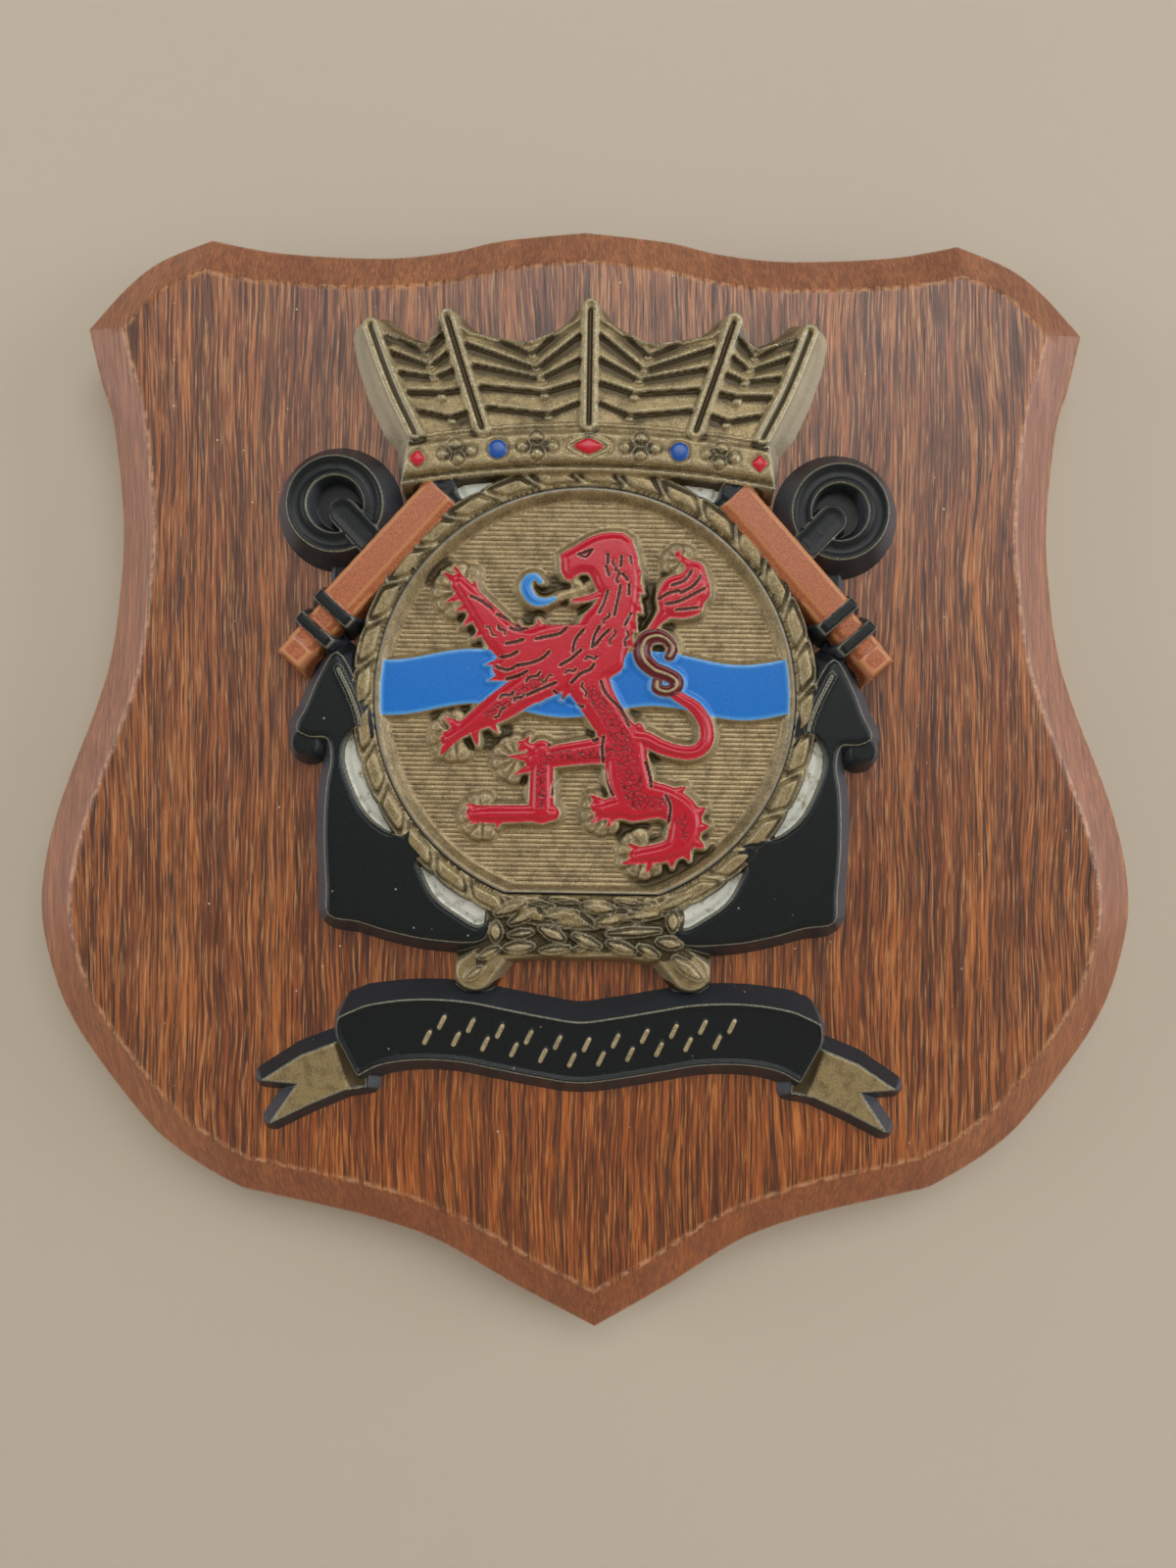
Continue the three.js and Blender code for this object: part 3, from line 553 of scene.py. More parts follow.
def buildAnchor(relief, side):
    flip = (lambda points: [tuple(p) for p in points]) if side > 0 else mirrorPoints

    # Low web from the eye down to the hook
    window, inside = relief.stroke(flip(anchor["web"]), 2)
    relief.raise_(window, softMin(1.5, 1.5 + inside * 2, 0.3), "black", trim=-1)

    # Eye
    u, v = flip([anchor["eye"]])[0]
    window, inside = relief.circle(u, v, anchor["eyeRadius"])
    top = anchor["eyeRelief"]
    dish = 0.35 * ramp(inside, 0.1, 1.1) * (1 - ramp(inside, 1.6, 2.6))
    relief.raise_(window, softMin(top - dish, top + inside * top / 2.2, 0.25), "black", trim=inside)
    window, inside = relief.circle(u, v, anchor["boreRadius"], 0.5)
    wall = anchor["eyeFloor"] + (top - anchor["eyeFloor"]) * ramp(-inside, -0.8, 0.12)
    old = relief.height[window]
    sunk = np.minimum(old, np.where(inside > -0.3, wall, 99))
    relief.trim[window] = np.where(inside > -0.3, np.clip(-inside, -1, 1), relief.trim[window])
    relief.height[window] = sunk

    # Arm and fluke, with a raised ridge inside its inner edge
    outline = smoothLine(flip(anchor["arm"]), 4, closed=True)
    window, inside = relief.outline(outline, 3.2)
    top = casting["relief"]
    bevel = 0.3 * (1 - ramp(inside, 0.0, 0.7))
    wall = top - 0.3 + inside * top / casting["draft"]
    relief.raise_(window, softMin(top - bevel, wall, 0.2), "black", trim=inside)

    # Blade ridge from the point down to the crescent
    window, inside = relief.stroke(smoothLine(flip(anchor["blade"]), 6), 1.4)
    relief.height[window] += 0.22 * ramp(inside, -0.9, 0.1)
    relief.trim[window] = np.where(inside > -0.5, np.clip(inside, -1, 1), relief.trim[window])

    # Hook end
    u, v, radius = flip([anchor["hook"]])[0]
    window, inside = relief.circle(u, v, radius, 2.5)
    relief.raise_(window, softMin(top - 0.5, top - 0.5 + inside * top / 1.6, 0.3), "black", trim=-1)

    # Shank end, lying in the eye
    window, inside = relief.stroke(flip(anchor["shank"]), 2)
    top = anchor["eyeRelief"] + 0.15
    dish = 0.2 * ramp(inside, 0.1, 1.2)
    relief.raise_(window, softMin(top - dish, top + inside * 8, 0.2), "black", trim=inside)

    # Stock with its bands
    start, end = (np.array(p) for p in flip([anchor["stockFrom"], anchor["stockTo"]]))
    run = np.linalg.norm(end - start)
    ahead = (end - start) / run
    across = np.array([-ahead[1], ahead[0]]) * -side

    def bar(fromShare, toShare, half, top, paint, draft=0.9, bevel=1.3, fall=0.9, lower=0.35, trimmed=True):
        a, b = start + ahead * run * fromShare, start + ahead * run * toShare
        window = relief.window([a, b], half + 3)
        gridU, gridV = relief.at(window)
        alongLine = (gridU - start[0]) * ahead[0] + (gridV - start[1]) * ahead[1]
        offset = (gridU - start[0]) * across[0] + (gridV - start[1]) * across[1]
        ends = np.minimum(alongLine - run * fromShare, run * toShare - alongLine)
        sides = half - np.abs(offset)
        slopeDown = fall * ramp(offset, half - bevel, half) + lower * ramp(-offset, half - 0.5, half)
        inside = np.minimum(ends, sides)
        height = np.minimum(softMin(top - slopeDown, top - slopeDown + sides * top / draft, 0.2),
                            top - 0.2 + ends * 6)
        relief.raise_(window, height, paint, trim=inside if trimmed else 1.0)
        return window, inside, offset

    half, top = anchor["stockHalf"], anchor["stockRelief"]
    bar(-0.42, -0.3, half * 0.72, top - 0.5, "black", trimmed=False)
    bar(-0.3, -0.14, half * 0.8, top - 0.45, "stock", trimmed=False)
    bar(-0.14, -0.04, half * 0.94, top - 0.1, "black", trimmed=False)
    bar(1.0, 1.4, half * 0.8, top - 0.8, "stock", trimmed=False)
    bar(1.36, 1.5, half * 0.72, top - 0.6, "stock", draft=1.3, bevel=0.5, fall=0.2)
    window, inside, offset = bar(-0.04, 1.0, half, top, "stock", trimmed=False)
    bar(1.0, 1.08, half * 1.2, top + 0.15, "black", bevel=0.6, fall=0.3)
    bar(1.2, 1.275, half * 1.16, top, "black", bevel=0.6, fall=0.3)


crescents = {
    "relief": 3.1,
    "right": [(31.9, -5.4), (33.2, -7.0), (33.5, -9.5), (32.7, -12.4), (31.0, -16.0), (28.8, -18.4),
              (26.4, -19.6), (24.2, -18.4), (28.0, -11.5), (30.2, -5.8)],
    "foot": [(22.6, -23.2), (21.7, -26.5), (20.0, -29.0), (17.2, -31.0), (14.5, -32.4), (12.6, -31.0),
             (12.6, -27.5), (18.0, -23.0)],
    "crown": [(17.2, 31.6), (8.3, 31.8), (12.0, 28.6), (16.2, 26.6), (18.2, 28.4)],
}


def buildCrescents(relief, side):
    flip = (lambda points: list(points)) if side > 0 else mirrorPoints
    for key in ("right", "foot", "crown"):
        outline = smoothLine(flip(crescents[key]), 5, closed=True)
        window, inside = relief.outline(outline, 1.0)
        top = crescents["relief"] if key != "crown" else 3.6
        dome = top - 0.5 + 0.5 * ramp(inside, 0, 1.2)
        region = inside > -0.35
        wall = dome + 3.0 * np.maximum(0, -inside) / 0.35
        relief.height[window] = np.where(region, np.minimum(np.maximum(relief.height[window], dome), wall),
                                         relief.height[window])
        relief.coat(window, np.where(region, inside + 0.02, -1), "white")
        relief.trim[window] = np.where(region, np.clip(-inside - 0.1, -1, 1), relief.trim[window])


rope = {
    "inner": 29.55,
    "outer": 32.25,
    "relief": 5.2,
    "leaves": 32,
    "slant": 0.45,         # how far a joint leans, in leaves
}


def pillow(inside, top, scale=1.0):
    # A strand's top: a thin raised border, a groove inside it and a plump middle
    border = 0.4 * (1 - ramp(np.abs(inside - 0.12 * scale), 0.05 * scale, 0.28 * scale))
    middle = 0.6 * ramp(inside, 0.4 * scale, 0.95 * scale)
    return top - 0.65 + border + middle


def buildRope(relief):
    window = relief.window([(-36, -36), (36, 36)], 0)
    gridU, gridV = relief.at(window)
    radius = np.hypot(gridU, gridV + casting["badgeDrop"])
    angle = np.arctan2(gridV + casting["badgeDrop"], gridU)
    mean = (rope["inner"] + rope["outer"]) / 2
    pitch = 2 * math.pi / rope["leaves"]
    share = (radius - rope["inner"]) / (rope["outer"] - rope["inner"])
    bend = share + 0.35 * np.sin(math.pi * np.clip(share, 0, 1)) * 0.4
    phase = (angle - bend * rope["slant"] * pitch) / pitch
    nearJoint = 0.5 - np.abs(phase - np.floor(phase) - 0.5)
    lean = math.cos(math.atan(rope["slant"] * pitch * mean / (rope["outer"] - rope["inner"])))
    toJoint = nearJoint * pitch * mean * lean
    bulge = 0.3 * np.sqrt(np.clip(nearJoint * 4, 0, 1))
    outside = rope["outer"] - 0.2 + bulge - radius
    toEdge = np.minimum(radius - rope["inner"] + 0.15, outside)
    inside = softMin(toJoint, toEdge, 0.35)
    top = pillow(inside, rope["relief"])
    height = softMin(top, rope["relief"] - 0.4 + outside * rope["relief"] / 1.3, 0.25)
    keep = radius > rope["inner"] - 1.5
    height = np.where(keep, height, -3)
    relief.raise_(window, height, None, trim=inside - 0.1)


crown = {
    "floor": 5.2,
    "relief": 6.5,
    "draft": 1.9,
    "laps": 5.9,
    "outline": [(0.0, 53.7), (0.95, 53.5), (1.9, 51.9), (4.9, 50.1), (8.7, 48.6), (12.6, 49.1), (16.5, 49.9),
                (18.3, 51.2), (19.3, 52.3), (20.5, 51.9), (20.8, 49.8), (23.1, 48.2), (25.8, 48.9),
                (28.2, 50.0), (29.4, 50.9), (31.2, 50.7), (30.5, 47.0), (29.0, 42.6), (27.0, 38.3),
                (25.3, 34.9), (25.2, 32.0), (24.6, 29.5), (18.0, 30.2), (9.0, 30.7), (0.0, 30.9)],
    "posts": [[(0.0, 53.3), (0.0, 37.2)], [(19.75, 51.6), (17.3, 44.0), (14.7, 36.4)],
              [(30.2, 50.2), (27.2, 42.3), (23.9, 35.6)]],
    "ribs": [[(8.6, 48.4), (7.5, 45.0), (6.4, 42.1), (5.4, 37.0)],
             [(23.1, 48.0), (22.1, 45.1), (20.8, 41.9), (18.4, 36.2)]],
    "pearls": [(5.0, 33.9), (7.2, 35.2), (7.1, 32.9), (9.1, 33.8), (16.2, 33.1), (18.3, 34.0), (18.0, 32.0),
               (20.0, 32.6)],
    "pearlRadius": 0.72,
    # Where the painted highlight on the outer walls begins, in metres out from the middle of the board and
    # above it
    "glareOut": (0.0195, 0.0215),
    "glareAbove": (0.030, 0.034),
}


def bandCentre(u):
    return 34.0 - 2.0 * (u / 23.7) ** 2


def buildCrown(relief):
    half = crown["outline"]
    outline = np.array(half + mirrorPoints(half[1:-1])[::-1])
    window, inside = relief.outline(outline, 3.6)
    gridU, gridV = relief.at(window)
    sideways = ramp(np.abs(gridU), 24, 30) * ramp(gridV, 34, 37)
    draft = crown["draft"] + 0.7 * sideways
    floor = crown["floor"]
    height = softMin(floor + 0 * inside, floor + inside * floor / draft, 0.3)
    relief.raise_(window, height, None, trim=inside)
    edge = np.full(relief.height.shape, -9.0)
    edge[window] = inside

    posts = crown["posts"]
    for flip in (lambda points: [tuple(p) for p in points], mirrorPoints):
        for post, rib, lift in ((0, 0, 2.9), (1, 0, 1.9), (1, 1, 1.7), (2, 1, 2.3)):
            ribLine = smoothLine(flip(crown["ribs"][rib]), 8)
            lapPanel(relief, edge, smoothLine(flip(posts[post]), 10), ribLine, lift)
        for post in posts:
            line = smoothLine(flip([p + (1.05,) for p in post]), 5)
            window, inside = relief.stroke(line, 1.6)
            slot = 0.55 * ramp(inside, 0.55, 0.95)
            top = crown["relief"] + 0.2
            height = softMin(top - slot, top + inside * 4, 0.25)
            relief.raise_(window, height, None, trim=np.minimum(inside, 1) - 0.1)

    # Band: a sloping upper side, a flat face for the jewels, a sloping lower lip
    window = relief.window([(-26, 28), (26, 38)], 0)
    gridU, gridV = relief.at(window)
    offset = gridV - bandCentre(gridU)
    reach = 25.2 - 0.15 * offset - np.abs(gridU)
    face = crown["relief"] + 0.15
    lip = 0.55 * ramp(offset, 2.75, 3.0) * (1 - ramp(offset, 3.1, 3.45))
    upper = face - 0.95 * ramp(offset, 1.45, 2.9) + lip
    lower = 1.2 * ramp(-offset, 1.45, 2.6) - 0.5 * ramp(-offset, 2.55, 2.75)
    height = upper - lower
    height = np.minimum(height, face + (3.45 - offset) * 6)
    height = np.minimum(height, face - 0.7 + (offset + 3.15) * 3.2)
    height = np.minimum(height, face - 0.3 + reach * 3)
    line = np.minimum(np.abs(np.abs(offset) - 1.42), np.minimum(np.abs(offset - 3.05), np.abs(offset + 2.85)))
    relief.raise_(window, height, None, trim=np.where(reach > 0, line, 1))

    def jewel(u, v, radiusU, radiusV, rise, paint, power=2.0):
        window = relief.window([(u - radiusU, v - radiusV), (u + radiusU, v + radiusV)], 0.9)
        gridU, gridV = relief.at(window)
        shareU, shareV = np.abs((gridU - u) / radiusU), np.abs((gridV - v) / radiusV)
        share = (shareU ** power + shareV ** power) ** (1 / power)
        inside = (1 - share) * min(radiusU, radiusV)
        dome = rise * np.sqrt(np.clip(1 - share ** 2, 0, 1))
        socket = 0.3 * ramp(inside, -0.42, -0.12) * (1 - ramp(inside, -0.1, 0.1))
        relief.height[window] += dome - socket
        if paint:
            relief.coat(window, np.clip(inside, -1, 1), paint)
        relief.trim[window] = np.where(np.abs(inside + 0.45) < 0.4, inside + 0.45, relief.trim[window])

    for side in (-1, 1):
        for u, v in crown["pearls"]:
            jewel(side * u, v, crown["pearlRadius"], crown["pearlRadius"], 0.5, None)
        jewel(side * 12.5, bandCentre(12.5) - 0.05, 1.3, 1.3, 0.3, "blue")
        jewel(side * 23.5, bandCentre(23.5) - 0.1, 1.2, 1.25, 0.3, "red", 1.0)
    jewel(0, bandCentre(0), 2.1, 1.1, 0.3, "red", 1.25)
    window = relief.window([(-3.8, 32.4), (3.8, 35.6)], 0.6)
    gridU, gridV = relief.at(window)
    oval = (1 - np.hypot(gridU / 3.4, (gridV - 34.0) / 1.55)) * 1.55
    relief.height[window] -= 0.22 * ramp(oval, -0.2, 0.0) * (1 - ramp(oval, 0.05, 0.3))


def lapPanel(relief, edge, post, rib, lift):
    # Boards that overlap like a clinker hull's: each rises to its lower edge, then steps down
    shares = np.linspace(0, 1, 40)
    post, rib = (np.vstack([line, line[-1] + (line[-1] - line[0]) * 0.3]) for line in (post, rib))
    alongPost = np.stack([np.interp(shares, np.linspace(0, 1, len(post)), post[:, k]) for k in (0, 1)], 1)
    alongRib = np.stack([np.interp(shares, np.linspace(0, 1, len(rib)), rib[:, k]) for k in (0, 1)], 1)
    alongPost[:, 1] += lift
    window = relief.window(list(alongPost) + list(alongRib), 0.2)
    gridU, gridV = relief.at(window)
    level = np.full(gridU.shape, -1.0)
    before = None
    for share, start, end in zip(shares, alongPost, alongRib):
        # Height above the line from post to rib
        lineV = start[1] + (gridU - start[0]) * (end[1] - start[1]) / (end[0] - start[0])
        over = gridV - lineV
        if before is not None:
            crossed = (over > 0) & (before[0] <= 0)
            part = before[0] / np.minimum(before[0] - over, -1e-9)
            level = np.where(crossed, before[1] + np.clip(part, 0, 1) * (share - before[1]), level)
        before = (over, share)
    postU = np.interp(gridV, alongPost[::-1, 1], alongPost[::-1, 0])
    ribU = np.interp(gridV, alongRib[::-1, 1], alongRib[::-1, 0])
    within = np.minimum((gridU - postU) * np.sign(ribU - postU), (ribU - gridU) * np.sign(ribU - postU))
    inPanel = (within > 0) & (level > 0) & (level < 1) & (edge[window] > 0.3)
    phase = level * crown["laps"] % 1
    lap = 0.44 * ramp(phase, 0.0, 0.22) + 0.3 * ramp(phase, 0.3, 0.88) - 0.74 * ramp(phase, 0.93, 1.0)
    top = crown["floor"] + 0.15 + lap
    ends = 0.4 * (1 - ramp(within, 0.3, 0.8)) * (1 - ramp(phase, 0.25, 0.5))
    rim = 0.45 * (1 - ramp(edge[window], 0.5, 0.9))
    height = np.where(inPanel, top + ends + rim, -3)
    relief.raise_(window, height, None)
    relief.trim[window] = np.where(inPanel, 1.0, relief.trim[window])


knot = {
    "relief": 4.0,
    "top": 5.2,
    "block": [(0, -36.5), (5.5, -36.4), (10.8, -36.9), (14.0, -35.5), (13.6, -33.3), (14.2, -31.0),
              (13.3, -28.5), (11.0, -27.0), (0, -26.9), (-11.0, -27.0), (-12.9, -28.9), (-13.2, -31.0),
              (-13.2, -34.5), (-13.6, -36.2), (-10.8, -36.9), (-5.5, -36.4)],
    # Strands: both ends and the half width
    "strands": [
        (-8.6, -28.4, -3.9, -29.4, 0.55), (-4.2, -28.4, -0.6, -28.8, 0.55), (0.4, -29.3, 4.3, -29.7, 1.1),
        (4.8, -28.5, 8.6, -29.1, 0.65), (8.9, -28.4, 10.7, -28.9, 0.45), (10.9, -29.5, 15.0, -27.7, 1.0),
        (-11.6, -30.5, -8.0, -29.0, 1.05), (-9.7, -31.8, -6.7, -30.2, 1.0), (-5.0, -30.8, -0.9, -30.4, 1.1),
        (2.2, -31.6, 5.5, -31.1, 0.88), (6.2, -30.8, 10.7, -30.3, 0.9), (12.7, -30.2, 12.7, -32.3, 1.1),
        (-11.8, -32.1, -11.8, -34.1, 1.1), (-9.8, -33.5, -6.9, -33.1, 0.85), (-5.4, -32.5, -2.6, -33.9, 1.1),
        (-3.2, -31.9, 1.5, -32.3, 0.5), (3.8, -33.1, 10.8, -32.6, 0.88), (10.9, -34.1, 13.6, -34.5, 1.1),
        (-10.3, -35.3, -6.9, -35.0, 1.05), (-5.4, -35.6, -1.7, -35.2, 0.8), (-0.9, -33.5, 2.5, -34.9, 0.92),
        (3.9, -34.4, 7.3, -35.5, 1.0), (8.1, -34.9, 10.6, -36.0, 0.9), (-0.9, -35.2, 0.5, -35.3, 0.5),
        (-13.8, -36.6, -11.6, -35.4, 0.85), (-15.6, -39.6, -13.9, -38.2, 0.85),
        (13.2, -36.5, 16.4, -39.0, 1.15),
    ],
    "feet": [[(-12.6, -36.6, 2.0), (-14.8, -38.8, 2.5)], [(12.9, -36.2, 2.0), (15.4, -38.5, 2.5)]],
}


def buildKnot(relief):
    outline = smoothLine(knot["block"], 4, closed=True)
    window, inside = relief.outline(outline, 3)
    relief.raise_(window, softMin(knot["relief"] + 0.1, knot["relief"] + inside * 3.2, 0.4), None, trim=1.0)
    for foot in knot["feet"]:
        window, inside = relief.stroke(foot, 3)
        relief.raise_(window, softMin(4.1, 4.1 + inside * 3.0, 0.5), None, trim=1.0)
    for u0, v0, u1, v1, half in knot["strands"]:
        ends = [(u0, v0, half * 0.62), ((u0 + u1) / 2, (v0 + v1) / 2, half), (u1, v1, half * 0.62)]
        window, inside = relief.stroke(smoothLine(ends, 3), 1.2)
        plump = pillow(inside, knot["top"] + 0.25, 0.72)
        relief.raise_(window, softMin(plump, knot["top"] - 0.25 + inside * 5, 0.15), None, trim=inside - 0.08,
                      wallSlope=5)


scroll = {
    "relief": 4.0,
    "draft": 2.3,
    "halfHeight": 4.2,
    "line": [(0.0, -49.9), (5.5, -49.2), (11.0, -48.2), (16.0, -47.3), (20.7, -47.0), (24.8, -47.2),
             (28.5, -47.9), (31.5, -49.2), (34.2, -50.7)],
    "tail": [(30.5, -48.5), (34.4, -49.3), (39.2, -51.2), (44.5, -54.7), (39.5, -55.1), (43.3, -60.7),
             (37.9, -58.0), (33.0, -55.9), (29.9, -55.4)],
    "tailRelief": 3.0,
    "endReach": 32.85,     # half the length, measured along the middle line
    "endLean": 0.417,
    "endRound": 0.13,
    "rows": (-1.15, 1.05),
    "strokes": 11,
    "strokeHeight": 1.5,
    "strokePitch": 4.05,
}


def buildScroll(relief):
    for side in (-1, 1):
        flip = (lambda points: list(points)) if side > 0 else mirrorPoints
        window, inside = relief.outline(np.array(flip(scroll["tail"])), 3)
        top = scroll["tailRelief"]
        relief.raise_(window, softMin(top + 0 * inside, top + inside * top / 1.7, 0.3), "black", trim=inside)
        relief.coat(window, np.clip(inside - 0.12, -1, 1), None)
        # The band's end curls under, so the tail starts in its shade
        gridU, gridV = relief.at(window)
        fold = ramp(34.2 + 0.35 * (gridV + 50) - side * gridU, -0.6, 1.2)
        relief.height[window] -= 0.7 * fold * (inside > 0)
    half = scroll["line"]
    line = smoothLine(mirrorPoints(half[1:])[::-1] + half, 8)
    window = relief.window(line, scroll["halfHeight"] + 3.2)
    gridU, gridV = relief.at(window)
    middle = np.interp(gridU, line[:, 0], line[:, 1])
    slope = np.interp(gridU, line[:, 0], np.gradient(line[:, 1], line[:, 0]))
    offset = (gridV - middle) / np.sqrt(1 + slope ** 2)
    reach = scroll["endReach"] - np.abs(gridU) + scroll["endLean"] * (gridV - middle)
    reach -= scroll["endRound"] * np.maximum(offset - 1.2, 0) ** 2
    toSide, toEnd = scroll["halfHeight"] - np.abs(offset), 2 * reach
    outside = -np.hypot(np.minimum(toSide, 0), np.minimum(toEnd, 0))
    inside = np.where(outside < 0, outside, softMin(toSide, toEnd, 0.4).clip(0))
    top = scroll["relief"]
    sunk = 0.3 * ramp(inside, 0.3, 0.7)
    height = softMin(top - sunk, top + inside * top / scroll["draft"], 0.25)
    relief.raise_(window, height, "black", trim=inside)

    # Slanted strokes in two rows where the real scroll would be lettered
    for row in scroll["rows"]:
        for i in range(scroll["strokes"]):
            u = (i - (scroll["strokes"] - 1) / 2 + (0.25 if row > 0 else -0.25)) * scroll["strokePitch"]
            v = np.interp(u, line[:, 0], line[:, 1]) + row
            rise = scroll["strokeHeight"] / 2
            mark = [(u - 0.35, v - rise, 0.3), (u + 0.35, v + rise, 0.3)]
            window, inside = relief.stroke(mark, 1)
            relief.height[window] += 0.3 * ramp(inside, -0.15, 0.15)
            relief.coat(window, np.clip(inside, -1, 1), None)
            relief.trim[window] = np.where(inside > -0.4, 1.0, relief.trim[window])


def seatField(gridU, gridV):
    # Distance outside the badge's seat
    gridV = gridV + casting["badgeDrop"]
    return np.maximum(np.hypot(gridU, gridV) - casting["seatRadius"], -gridV - casting["seatFoot"])


def makeCasting():
    step = casting["step"]
    relief = Relief((-48, -65), (48, 57), step, step, ("black", "white", "stock", "red", "blue"))
    for side in (-1, 1):
        buildAnchor(relief, side)
        buildCrescents(relief, side)
    buildRope(relief)
    buildScroll(relief)
    buildKnot(relief)
    buildCrown(relief)
    footprint = np.minimum(relief.height, seatField(relief.gridU, relief.gridV) * 2)
    return reliefMesh("crest", relief, footprint, step)


# The badge

badge = {
    "stepU": 0.2,
    "ribPitch": 0.66,
    "radius": 29.2,
    "foot": 27.15,
    "rim": 4.8,
    "floor": 3.5,
    "rimSlope": 1.8,
    "footSlope": 1.2,
    "barRelief": 4.3,
    "barTop": (5.35, 0.85, 9.3),       # level, swing and where it is highest
    "barLow": (-2.3, 0.9, 9.6),
    "barWave": 24.6,
    "lionRelief": 5.3,
}


def buildBar(relief, inRim):
    gridU, gridV = relief.gridU, relief.gridV
    top, low = (level + swing * np.cos(2 * math.pi * (gridU - peak) / badge["barWave"])
                for level, swing, peak in (badge["barTop"], badge["barLow"]))
    inside = np.minimum(top - gridV, gridV - low)
    inside = np.minimum(inside, inRim - 0.7)
    rise = (badge["barRelief"] - badge["floor"]) * ramp(inside, -0.75, 0.12)
    relief.height += rise
    relief.coat(np.s_[:, :], np.clip(inside, -1, 1), "blue")
    return inside


